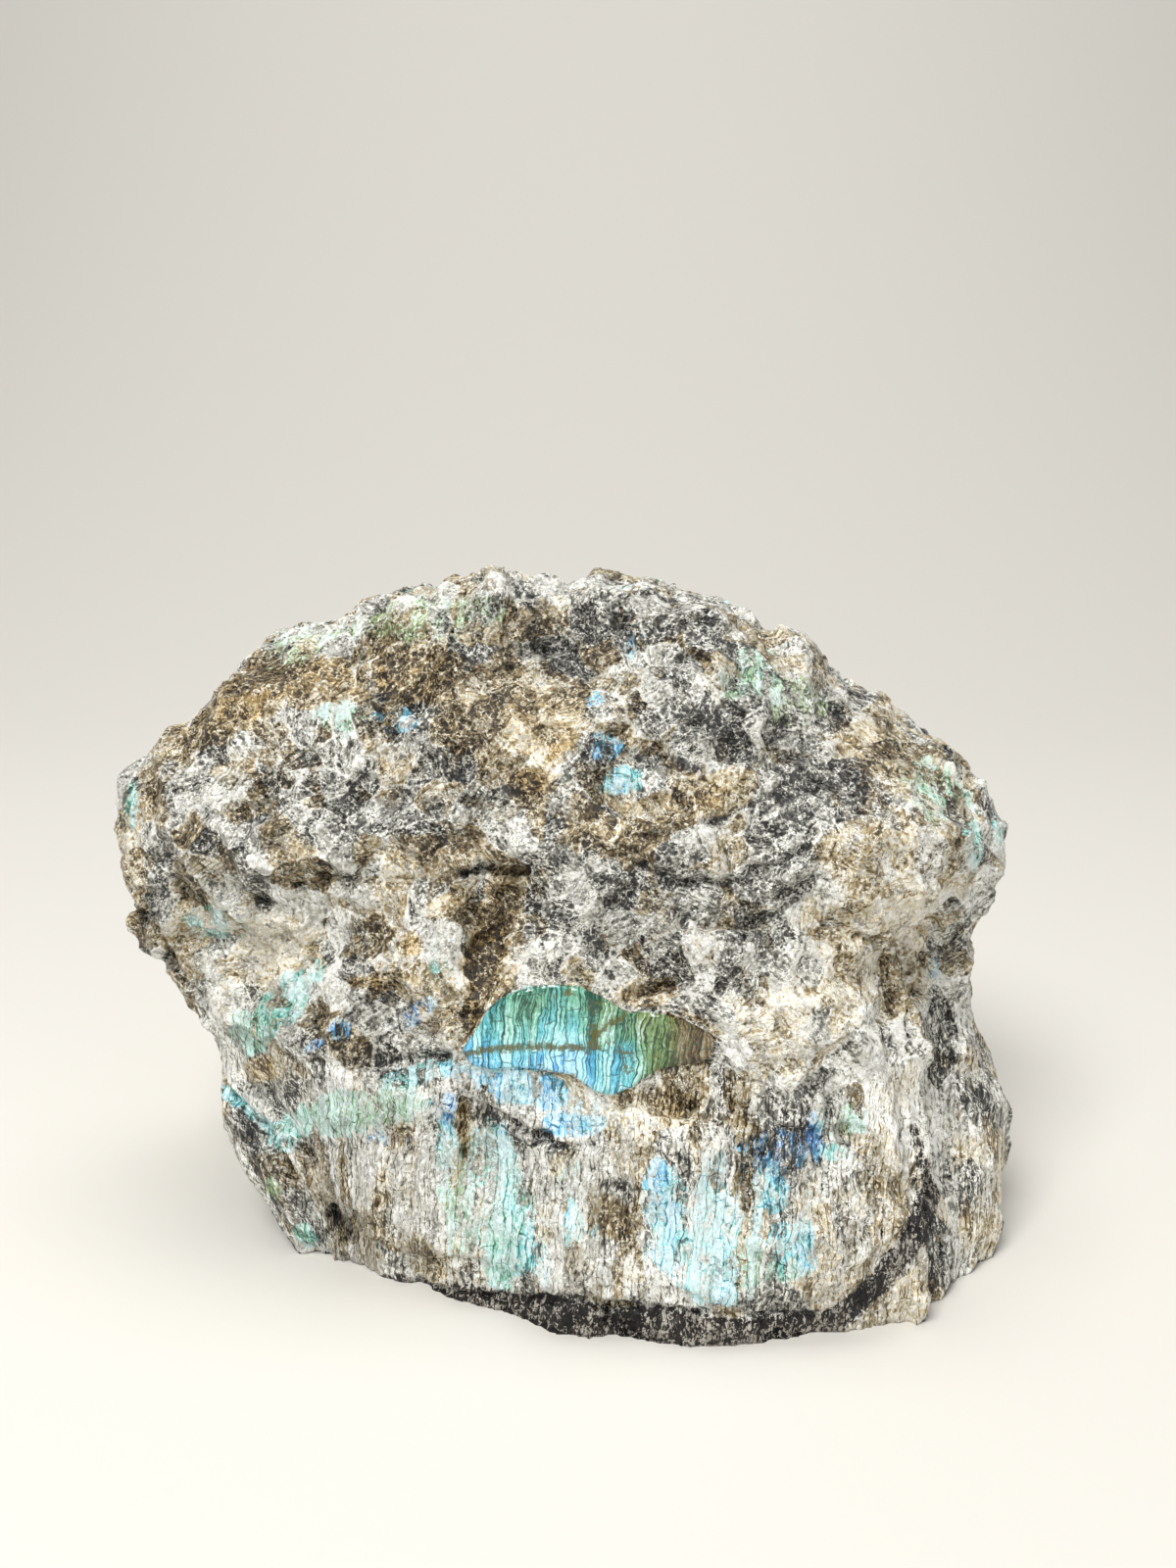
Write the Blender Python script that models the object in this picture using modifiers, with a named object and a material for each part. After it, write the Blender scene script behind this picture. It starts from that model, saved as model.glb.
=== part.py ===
"""A rough block of labradorite with one small window ground flat and polished in its front.

The block is broken on every side but its base, which is sawn flat so that it stands.
Metres, +Z up. The front faces -Y. The origin lies on the base, under the middle of the block's box.
All named sizes are in millimetres.
"""

import math

import bmesh
import bpy
import numpy as np
from mathutils import Matrix, Vector, noise

MM = 0.001
NODE = "labradorite_block"

# The outline of the block as seen from the front, from the left end of the base over the top to the
# right end of the base. The last four points run under the sawn base, where the block is cut away.
OUTLINE = [
    (-40.5, 0), (-45.5, 8), (-49, 13), (-52, 19), (-54.5, 25), (-57.5, 31), (-62, 36), (-66.5, 42.5),
    (-69, 49), (-70.5, 56), (-69.5, 62), (-68, 68), (-64, 72), (-59.5, 76), (-55, 80.5), (-53, 83.5),
    (-47, 87.5), (-41.5, 90), (-35.5, 92.5), (-29, 95.5), (-24, 98), (-17, 98), (-9, 99.5), (-4, 99),
    (0, 97.5), (5, 99), (12, 98.5), (16, 96), (24, 96.5), (29, 92.5), (36, 88.5), (40, 84),
    (47, 79.5), (52, 77.5), (56, 76), (61, 71.5), (65, 66.5), (67.5, 59), (66, 52), (62.5, 46),
    (62.5, 40), (61.5, 33), (63, 28), (66.5, 22), (67.5, 18), (68, 10), (68, 3), (65, -6),
    (52, -20), (12, -27), (-22, -20), (-34, -8),
]
MIDDLE_HEIGHT = 48.0
RIM_AT_BASE, RIM_AT_TOP, RIM_RISE = -10.0, 6.0, 50.0

# How far the front stands before the rim, at stations across the width and up the height
STATION_X = [-60, -40, -20, 0, 20, 40, 53, 58, 64]
STATION_Z = [0, 20, 40, 60, 80, 100]
FRONT_DEPTH = [
    [6, 9, 17, 26, 30, 29, 26, 17, 14],
    [8, 14, 22, 27, 30, 31, 30, 18, 15],
    [12, 22, 28, 31, 33, 33, 31, 21, 16],
    [14, 23, 27, 29, 30, 29, 27, 23, 18],
    [14, 18, 21, 22, 22, 19, 17, 15, 13],
    [12, 13, 14, 15, 15, 13, 12, 12, 12],
]
BACK_DEPTH = 41.0
FRONT_SPREAD, BACK_SPREAD = 0.8, 0.5
FRONT_SQUARENESS, BACK_SQUARENESS, EDGE_ROUNDING = 4.0, 7.0, 3.0

# Broken planes at the back, each as its outward direction and its distance from the middle
BACK_BREAKS = [
    ((0.22, 0.95, 0.18), 41.0),
    ((-0.45, 0.88, 0.10), 50.0),
    ((-0.10, 0.72, 0.68), 52.0),
    ((0.60, 0.68, 0.42), 61.0),
    ((-0.35, 0.80, -0.48), 50.0),
    ((0.80, 0.55, -0.20), 68.0),
    ((-0.75, 0.50, 0.42), 68.0),
]

# Swellings and hollows of the front: x, z, half width, half height, turn in degrees, rise
SWELLINGS = {
    "knob at the upper right": (43, 63, 13, 12, 20, 3.4),
    "hollow under the knob": (50, 49, 9, 8, 0, -3.4),
    "pale lump under the window": (11, 27, 10, 9, 0, 3.2),
    "pale lump right of the window": (30, 43, 12, 10, 0, 2.2),
    "hollow at the top": (-2, 90, 11, 6, 10, -3.0),
    "brown hollow at the upper left": (-25, 88, 9, 6, 0, -2.2),
    "dark trough across the middle": (22, 60, 20, 5, -12, -2.2),
    "shoulder at the left": (-45, 68, 15, 12, 0, 2.2),
    "crevice left of the window": (-10, 55, 3.2, 11, -12, -3.6),
    "hollow of the cream plate": (-38, 48, 15, 9, 25, -3.2),
    "shelf of the blue cleavage": (-4, 34, 15, 4, -14, -1.6),
    "green shelf at the lower left": (-28, 30, 14, 6, 8, 2.6),
    "dimple at the lower left": (-33, 9, 3.4, 4.4, 20, -3.2),
    "hollow over the base": (-12, 15, 10, 12, 0, -1.8),
    "flank at the lower right": (37, 20, 10, 14, 0, 1.8),
    "groove right of the corner": (56, 38, 3.4, 26, 4, -3.2),
    "groove beside the right lobe": (54.5, 14, 2.6, 16, -3, -3.6),
}

# Ledges: the rock under and to the right of each line steps back by the given drop
LEDGES = {
    "ledge over the cream plate": ([(-52, 51), (-42, 58), (-28, 64), (-15, 68), (-7, 63)], 1.6),
    "lip over the green shelf": ([(-47, 33), (-38, 34), (-27, 36), (-16, 32), (-8, 27)], 1.4),
    "edge over the dark crust": ([(-30, 8), (-8, 7), (14, 7), (34, 6), (46, 16)], 1.0),
}
LEDGE_REACH, LEDGE_STEEPNESS = 9.0, 1.1
LEDGE_WANDER, LEDGE_WANDER_LENGTH = 3.4, 7.0

# The polished window: a leaf-shaped flat, ground where the rock bulged
WINDOW_OUTLINE = [
    (-13.3, 38.8), (-11.0, 42.4), (-8.6, 45.6), (-5.6, 47.3), (-0.5, 48.4), (2.7, 48.1),
    (5.4, 46.9), (8.7, 45.0), (13.8, 44.6), (16.7, 43.8), (20.5, 42.0), (20.8, 39.2),
    (18.6, 38.0), (13.6, 37.0), (9.8, 34.2), (7.1, 33.1), (4.6, 33.7), (1.6, 35.9),
    (-6.0, 36.6), (-12.2, 36.9),
]
WINDOW_CENTRE = (4.0, 40.0)
WINDOW_DEPTH = -27.5
WINDOW_LEAN, WINDOW_TURN = 0.10, -0.06
WINDOW_SHOULDER, WINDOW_SLOPE = 5.0, 0.42

# Broken facets of the rock: grain size, how far a facet stands out, how much it tilts, how deep it dishes
FACETS = [(18.0, 1.5, 3.0, 2.2), (8.5, 0.9, 1.7, 1.2), (4.2, 0.4, 0.8, 0.6)]
GRAIN_STRETCH, COLUMN_STRETCH, COLUMN_TOP = 0.62, 0.30, 34.0
NOISE_SEED = 7

REMESH_VOXEL = 1.15
TRIANGLE_TARGET = 7400
BASE_SLAB = 60.0
BLOCK_SPAN = max(abs(x) for x, _ in OUTLINE)


def smooth_step(value):
    """0 below 0, 1 above 1, and a smooth curve between them."""
    value = np.clip(value, 0.0, 1.0)
    return value * value * (3 - 2 * value)


def outline_radius(angles):
    """Distance from the middle of the block to its outline, at angles round the front view."""
    points = np.array(OUTLINE, float) - (0.0, MIDDLE_HEIGHT)
    known = np.arctan2(points[:, 1], points[:, 0])
    order = np.argsort(known)
    reach = np.hypot(points[:, 0], points[:, 1])[order]
    return np.interp(angles, known[order], reach, period=2 * math.pi)


def station_depth(x, z):
    """Depth of the front before the rim, smoothly between the stations."""
    columns = np.array([np.interp(x, STATION_X, row) for row in FRONT_DEPTH])
    place = np.interp(z, STATION_Z, range(len(STATION_Z)))
    low = np.clip(place.astype(int), 0, len(STATION_Z) - 2)
    share = smooth_step(place - low)
    pick = np.arange(len(x))
    return columns[low, pick] * (1 - share) + columns[low + 1, pick] * share


def rim_depth(z):
    """Where the rim of the block lies, front to back, at a height."""
    return RIM_AT_BASE + (RIM_AT_TOP - RIM_AT_BASE) * smooth_step(z / RIM_RISE)


def block_form(sphere):
    """Points of a unit sphere moved to the smooth overall form of the block."""
    radius_share = np.hypot(sphere[:, 0], sphere[:, 2])
    in_front = sphere[:, 1] < 0
    share = np.clip(radius_share, 0, 1) ** np.where(in_front, FRONT_SPREAD, BACK_SPREAD)
    reach = share * outline_radius(np.arctan2(sphere[:, 2], sphere[:, 0]))
    away = sphere / np.maximum(radius_share, 1e-9)[:, None]
    x, z = reach * away[:, 0], MIDDLE_HEIGHT + reach * away[:, 2]
    squareness = np.where(in_front, FRONT_SQUARENESS, BACK_SQUARENESS)
    fullness = np.clip(1 - share**squareness, 0, 1) ** (1 / EDGE_ROUNDING)
    depth = np.where(in_front, -station_depth(x, z), BACK_DEPTH)
    return np.stack([x, rim_depth(z) + depth * fullness, z], axis=1)


def distance_to_line(x, z, line, closed=False):
    """Distance of each point to a line of points, and on which side it lies: positive on the right."""
    ends = list(zip(line, line[1:] + line[:1])) if closed else list(zip(line, line[1:]))
    nearest, side = np.full(len(x), 1e9), np.zeros(len(x))
    for (x0, z0), (x1, z1) in ends:
        run, rise = x1 - x0, z1 - z0
        along = np.clip(((x - x0) * run + (z - z0) * rise) / (run**2 + rise**2), 0, 1)
        away_x, away_z = x - x0 - along * run, z - z0 - along * rise
        distance = np.hypot(away_x, away_z)
        closer = distance < nearest
        nearest = np.where(closer, distance, nearest)
        side = np.where(closer, np.sign(away_x * rise - away_z * run), side)
    return nearest, side


def inside_outline(x, z, outline):
    """Whether each point lies inside a closed outline."""
    inside = np.zeros(len(x), bool)
    for (x0, z0), (x1, z1) in zip(outline, outline[1:] + outline[:1]):
        crosses = (z0 > z) != (z1 > z)
        at = x0 + (z - z0) * (x1 - x0) / np.where(z1 == z0, 1e-9, z1 - z0)
        inside ^= crosses & (x < at)
    return inside


def swelling_rise(x, z):
    """How far the named swellings and hollows lift the front."""
    rise = np.zeros(len(x))
    for centre_x, centre_z, half_width, half_height, turn, lift in SWELLINGS.values():
        c, s = math.cos(math.radians(turn)), math.sin(math.radians(turn))
        across = ((x - centre_x) * c + (z - centre_z) * s) / half_width
        up = ((z - centre_z) * c - (x - centre_x) * s) / half_height
        rise += lift * smooth_step(1.35 - np.hypot(across, up))
    return rise


def ledge_drop(x, z):
    """How far the named ledges set the front back."""
    wander = np.array(
        [noise.noise_vector(Vector((a, 0, b)) / LEDGE_WANDER_LENGTH) for a, b in zip(x, z)]
    )
    x, z = x + LEDGE_WANDER * wander[:, 0], z + LEDGE_WANDER * wander[:, 2]
    drop = np.zeros(len(x))
    for line, depth in LEDGES.values():
        distance, side = distance_to_line(x, z, line)
        step = smooth_step(0.5 + side * distance / LEDGE_STEEPNESS)
        drop += depth * step * smooth_step(1.5 - distance / LEDGE_REACH)
    return drop


def facet_height(point):
    """Height of the broken facets at a point: shallow tilted dishes that meet in sharp ridges.

    The facets are taller than wide, and under the window they are drawn out into columns.
    """
    x, y, z = point
    drawn_out = z * GRAIN_STRETCH - (GRAIN_STRETCH - COLUMN_STRETCH) * min(z - COLUMN_TOP, 0)
    height = 0.0
    for grain, stand, tilt, dish in FACETS:
        place = Vector((x, y, drawn_out)) / grain
        height += min(
            2 * stand * noise.noise(centre * 5.3)
            + tilt * noise.noise_vector(centre * 3.7).dot(place - centre)
            + dish * (place - centre).length_squared
            for centre in noise.voronoi(place)[1]
        )
    return height


def window_plane(x, z):
    """Depth of the polished flat's plane at a place on the front."""
    return (
        WINDOW_DEPTH
        + WINDOW_LEAN * (z - WINDOW_CENTRE[1])
        + WINDOW_TURN * (x - WINDOW_CENTRE[0])
    )


def grind_window(points, front):
    """Sets the window's leaf on its plane and lets the rock round it fall away."""
    x, z = points[:, 0], points[:, 2]
    distance, _ = distance_to_line(x, z, WINDOW_OUTLINE, closed=True)
    outside = np.where(inside_outline(x, z, WINDOW_OUTLINE), 0.0, distance)
    hold = smooth_step(1 - outside / WINDOW_SHOULDER) * front
    target = window_plane(x, z) + WINDOW_SLOPE * outside
    points[:, 1] += (target - points[:, 1]) * hold
    return points


def break_back(points):
    """Presses the back onto its broken planes."""
    middle = np.array([0.0, 0.0, MIDDLE_HEIGHT])
    for direction, distance in BACK_BREAKS:
        direction = np.array(direction) / np.linalg.norm(direction)
        over = np.clip((points - middle) @ direction - distance, 0, None)
        points = points - over[:, None] * direction
    return points


def mesh_points(mesh):
    """Coordinates of a mesh's vertices as an array."""
    points = np.zeros(len(mesh.vertices) * 3)
    mesh.vertices.foreach_get("co", points)
    return points.reshape(-1, 3)


def mesh_normals(mesh):
    """Normals of a mesh's vertices as an array."""
    normals = np.zeros(len(mesh.vertices) * 3)
    mesh.vertex_normals.foreach_get("vector", normals)
    return normals.reshape(-1, 3)


def set_points(mesh, points):
    """Moves a mesh's vertices."""
    mesh.vertices.foreach_set("co", points.ravel())
    mesh.update()


def apply_modifiers(block):
    """Replaces the block's mesh with its evaluated one, and drops its modifiers."""
    shaped = bpy.data.meshes.new_from_object(
        block.evaluated_get(bpy.context.evaluated_depsgraph_get())
    )
    block.modifiers.clear()
    block.data = shaped
    return shaped


def smooth_block(collection):
    """The overall form, as an evenly meshed object in millimetres."""
    mesh = bpy.data.meshes.new(NODE)
    ball = bmesh.new()
    bmesh.ops.create_icosphere(ball, subdivisions=6, radius=1.0)
    ball.to_mesh(mesh)
    ball.free()
    set_points(mesh, break_back(block_form(mesh_points(mesh))))
    block = bpy.data.objects.new(NODE, mesh)
    collection.objects.link(block)
    remesh = block.modifiers.new("even mesh", "REMESH")
    remesh.mode = "VOXEL"
    remesh.voxel_size = REMESH_VOXEL
    apply_modifiers(block)
    return block


def break_surface(block):
    """Gives the block its swellings, ledges, broken facets and polished window."""
    mesh = block.data
    points, normals = mesh_points(mesh), mesh_normals(mesh)
    front = smooth_step((-normals[:, 1] - 0.05) / 0.35)
    x, z = points[:, 0], points[:, 2]
    rise = (swelling_rise(x, z) - ledge_drop(x, z)) * front
    facets = np.array([facet_height(point) for point in points])
    points += normals * (rise + facets)[:, None]
    points = grind_window(points, front)
    set_points(mesh, points)


def thin_mesh(block):
    """Cuts the number of triangles, which leaves flats in few large ones."""
    block.data.update()
    triangles = sum(len(face.vertices) - 2 for face in block.data.polygons)
    thin = block.modifiers.new("fewer triangles", "DECIMATE")
    thin.ratio = TRIANGLE_TARGET / triangles
    thin.use_collapse_triangulate = True
    apply_modifiers(block)


def saw_base(block, cutters):
    """Saws everything under the base away."""
    mesh = bpy.data.meshes.new("base_cutter")
    slab = bmesh.new()
    bmesh.ops.create_cube(slab, size=1.0)
    bmesh.ops.scale(slab, vec=(4 * BLOCK_SPAN, 4 * BLOCK_SPAN, BASE_SLAB), verts=slab.verts)
    bmesh.ops.translate(slab, vec=(0, 0, -BASE_SLAB / 2), verts=slab.verts)
    slab.to_mesh(mesh)
    slab.free()
    cutter = bpy.data.objects.new("base_cutter", mesh)
    cutter.hide_render = True
    cutter.display_type = "WIRE"
    cutters.objects.link(cutter)
    cut = block.modifiers.new("sawn base", "BOOLEAN")
    cut.operation = "DIFFERENCE"
    cut.object = cutter
    apply_modifiers(block)


def stand_on_origin(block):
    """Scales the block to metres and stands it on the origin, under the middle of its box."""
    points = mesh_points(block.data)
    low, high = points.min(0), points.max(0)
    middle = Vector(((low[0] + high[0]) / 2, (low[1] + high[1]) / 2, low[2]))
    block.data.transform(Matrix.Scale(MM, 4) @ Matrix.Translation(-middle))
    return middle


def rock_material():
    """Dark grey-green feldspar, dull where it is broken."""
    rock = bpy.data.materials.new("rough_labradorite")
    rock.use_nodes = True
    shader = rock.node_tree.nodes["Principled BSDF"]
    shader.inputs["Base Color"].default_value = (0.30, 0.28, 0.22, 1.0)
    shader.inputs["Roughness"].default_value = 0.55
    shader.inputs["Metallic"].default_value = 0.0
    return rock


def main():
    """Builds the block."""
    for leftover in list(bpy.data.objects):
        bpy.data.objects.remove(leftover)
    scene = bpy.context.scene.collection
    stone = bpy.data.collections.new("labradorite")
    cutters = bpy.data.collections.new("cutters")
    scene.children.link(stone)
    scene.children.link(cutters)
    noise.seed_set(NOISE_SEED)
    block = smooth_block(stone)
    break_surface(block)
    thin_mesh(block)
    saw_base(block, cutters)
    middle = stand_on_origin(block)
    block.data.materials.clear()
    block.data.materials.append(rock_material())
    print("moved to the origin by", [round(a, 2) for a in middle], "millimetres")


main()
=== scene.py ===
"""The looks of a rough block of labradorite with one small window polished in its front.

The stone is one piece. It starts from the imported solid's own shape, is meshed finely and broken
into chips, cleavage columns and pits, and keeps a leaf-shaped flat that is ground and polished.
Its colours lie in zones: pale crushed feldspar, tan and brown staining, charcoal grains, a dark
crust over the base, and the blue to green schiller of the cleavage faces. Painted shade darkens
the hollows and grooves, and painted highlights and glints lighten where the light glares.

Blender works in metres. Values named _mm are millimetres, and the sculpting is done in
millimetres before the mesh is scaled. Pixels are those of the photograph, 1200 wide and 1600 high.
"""

import itertools
import logging
import math
from dataclasses import dataclass
from enum import Enum
from functools import partial

import bmesh
import bpy
import numpy as np
from mathutils import Matrix, Vector


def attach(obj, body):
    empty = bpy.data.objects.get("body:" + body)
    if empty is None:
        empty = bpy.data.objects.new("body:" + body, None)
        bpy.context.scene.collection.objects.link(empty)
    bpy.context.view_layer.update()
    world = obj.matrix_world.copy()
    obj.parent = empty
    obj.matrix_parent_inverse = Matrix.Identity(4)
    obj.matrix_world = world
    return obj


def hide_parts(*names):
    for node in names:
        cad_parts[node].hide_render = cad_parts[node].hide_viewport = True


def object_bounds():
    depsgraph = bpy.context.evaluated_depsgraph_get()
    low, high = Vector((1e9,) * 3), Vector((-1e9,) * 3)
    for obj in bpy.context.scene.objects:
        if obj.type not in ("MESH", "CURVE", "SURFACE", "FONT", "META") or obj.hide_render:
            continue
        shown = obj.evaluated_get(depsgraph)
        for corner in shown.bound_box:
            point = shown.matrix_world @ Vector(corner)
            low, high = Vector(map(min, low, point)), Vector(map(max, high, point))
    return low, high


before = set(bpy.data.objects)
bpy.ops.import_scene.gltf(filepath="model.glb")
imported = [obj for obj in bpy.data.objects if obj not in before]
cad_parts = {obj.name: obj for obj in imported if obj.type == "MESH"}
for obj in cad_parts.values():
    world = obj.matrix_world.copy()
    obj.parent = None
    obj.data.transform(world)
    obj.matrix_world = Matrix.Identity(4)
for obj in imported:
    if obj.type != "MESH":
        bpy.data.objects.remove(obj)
CAD_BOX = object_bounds()

LOG = logging.getLogger("labradorite")
MM = 0.001
SOLID = "labradorite_block"
BODY = "root"
# Amounts of a zone, and how far a place stands out, are kept within this
AMOUNT_LIMIT = 1.2
# A patch or band fades out between these, where 1 is its outline
FADE = (1.3, 0.7)


def smooth_step(value: np.ndarray, low: float = 0.0, high: float = 1.0) -> np.ndarray:
    """Eases from 0 at low to 1 at high, which may be the smaller of the two."""
    share = np.clip((value - low) / (high - low), 0.0, 1.0)
    return share * share * (3 - 2 * share)


def linear_colour(hex_code: str) -> tuple[float, float, float, float]:
    """Turns an sRGB hex value to Blender's linear colour.

    Args:
        hex_code: such as "#E9DFC6".

    Returns:
        Linear red, green and blue, and an alpha of 1.
    """
    parts = [int(hex_code[i:i + 2], 16) / 255 for i in (1, 3, 5)]
    linear = [c / 12.92 if c <= 0.04045 else ((c + 0.055) / 1.055) ** 2.4 for c in parts]
    return (*linear, 1.0)


def distance_to_line(place: np.ndarray, line: tuple, closed: bool = False) -> np.ndarray:
    """Distance of points of a plane to a line of straight runs.

    Args:
        place: points, two numbers each.
        line: the line's own points.
        closed: whether the last point joins the first.

    Returns:
        One distance for each point.
    """
    nearest = np.full(len(place), np.inf)
    for start, end in zip(line, line[1:] + line[:1] if closed else line[1:]):
        run = np.subtract(end, start)
        along = np.clip((place - start) @ run / (run @ run), 0, 1)
        nearest = np.minimum(nearest, np.linalg.norm(place - start - along[:, None] * run, axis=1))
    return nearest


def inside_outline(place: np.ndarray, outline: tuple) -> np.ndarray:
    """Whether points of a plane lie inside a closed outline.

    Args:
        place: points, two numbers each.
        outline: the outline's points.

    Returns:
        True or False for each point.
    """
    inside = np.zeros(len(place), bool)
    for (x0, y0), (x1, y1) in zip(outline, outline[1:] + outline[:1]):
        if y0 == y1:
            continue
        crosses = (y0 > place[:, 1]) != (y1 > place[:, 1])
        inside ^= crosses & (place[:, 0] < x0 + (place[:, 1] - y0) * (x1 - x0) / (y1 - y0))
    return inside


class CrystalNoise:
    """Seeded gradient noise and broken-crystal patterns, for whole arrays of points at once."""

    table_size = 4096
    primes = (73856093, 19349663, 83492791)
    gain = 1.6
    layer_shift = 7.3

    def __init__(self, seed: int) -> None:
        """Draws the tables.

        Args:
            seed: the same seed gives the same noise.
        """
        draw = np.random.default_rng(seed)
        directions = draw.normal(size=(self.table_size, 3))
        self.directions = directions / np.linalg.norm(directions, axis=1)[:, None]
        self.offsets = draw.random((self.table_size, 3))
        self.levels = draw.random(self.table_size)

    def keys(self, cells: np.ndarray) -> np.ndarray:
        """Picks each cell's row in the tables.

        Args:
            cells: whole-numbered cells, three numbers each.

        Returns:
            One row number for each cell.
        """
        x, y, z = (cells.astype(np.int64) * self.primes).T
        mixed = x ^ y ^ z
        return (mixed ^ (mixed >> 15)) & (self.table_size - 1)

    def smooth(self, points: np.ndarray) -> np.ndarray:
        """Soft gradient noise.

        Args:
            points: three numbers each; one unit is one feature.

        Returns:
            Numbers from about -1 to 1.
        """
        base = np.floor(points)
        local = points - base
        ease = local**3 * (local * (local * 6 - 15) + 10)
        total = np.zeros(len(points))
        for corner in itertools.product((0, 1), repeat=3):
            slope = self.directions[self.keys(base + corner)]
            weight = np.prod(np.where(corner, ease, 1 - ease), axis=1)
            total += weight * ((local - corner) * slope).sum(axis=1)
        return self.gain * total

    def layered(self, points: np.ndarray, layers: int) -> np.ndarray:
        """Gradient noise with finer and weaker layers on top; one unit is its coarsest feature."""
        return sum(self.smooth(points * 2**i + self.layer_shift * i) / 2**i for i in range(layers))

    def facets(self, points: np.ndarray, stand: float, tilt: float, dish: float) -> np.ndarray:
        """Height of broken facets: tilted dishes, one a crystal, that meet in sharp ridges.

        Args:
            points: three numbers each; one unit is one crystal.
            stand: how far a crystal stands out or back.
            tilt: how much a facet leans.
            dish: how deep a facet is dished.

        Returns:
            One height for each point, in the unit of stand, tilt and dish.
        """
        base = np.floor(points)
        height = np.full(len(points), np.inf)
        for step in itertools.product((-1, 0, 1), repeat=3):
            keys = self.keys(base + step)
            away = points - base - step - self.offsets[keys]
            level = stand * (2 * self.levels[keys] - 1)
            level += tilt * (self.directions[keys] * away).sum(axis=1)
            level += dish * (away * away).sum(axis=1)
            height = np.minimum(height, level)
        return height


@dataclass(frozen=True)
class PhotoCamera:
    """The camera that took the photograph, found by matching the stone's outline."""

    frame_px: tuple[int, int] = (1200, 1600)
    focal_px: float = 1400.0
    pitch_deg: float = 14.0
    place_mm: tuple[float, float, float] = (3.82, -204.21, 119.3)
    sensor_mm: float = 36.0
    near_mm: float = 5.0

    def pixels(self, points_mm: np.ndarray) -> np.ndarray:
        """Where points show in the photograph.

        Args:
            points_mm: three numbers each.

        Returns:
            Two pixel coordinates for each point.
        """
        x, y, z = (points_mm - np.array(self.place_mm)).T
        pitch = math.radians(self.pitch_deg)
        depth = y * math.cos(pitch) - z * math.sin(pitch)
        rise = y * math.sin(pitch) + z * math.cos(pitch)
        middle = np.array(self.frame_px) / 2
        return middle + self.focal_px * np.stack([x / depth, -rise / depth], axis=1)

    def facing(self, points_mm: np.ndarray, normals: np.ndarray) -> np.ndarray:
        """How squarely points face the camera.

        Args:
            points_mm: three numbers each.
            normals: unit normals of the points.

        Returns:
            1 where a point faces the camera, 0 edge-on and less where it faces away.
        """
        towards = np.array(self.place_mm) - points_mm
        towards /= np.linalg.norm(towards, axis=1)[:, None]
        return (towards * normals).sum(axis=1)

    def build(self) -> bpy.types.Object:
        """Makes the scene's camera.

        Returns:
            The camera object.
        """
        data = bpy.data.cameras.new("photo_camera")
        data.sensor_width = self.sensor_mm
        data.lens = self.focal_px / max(self.frame_px) * self.sensor_mm
        data.clip_start = self.near_mm * MM
        camera = bpy.data.objects.new("photo_camera", data)
        camera.location = Vector(self.place_mm) * MM
        camera.rotation_euler = (math.radians(90 - self.pitch_deg), 0, 0)
        bpy.context.scene.collection.objects.link(camera)
        bpy.context.scene.camera = camera
        return camera


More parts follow.
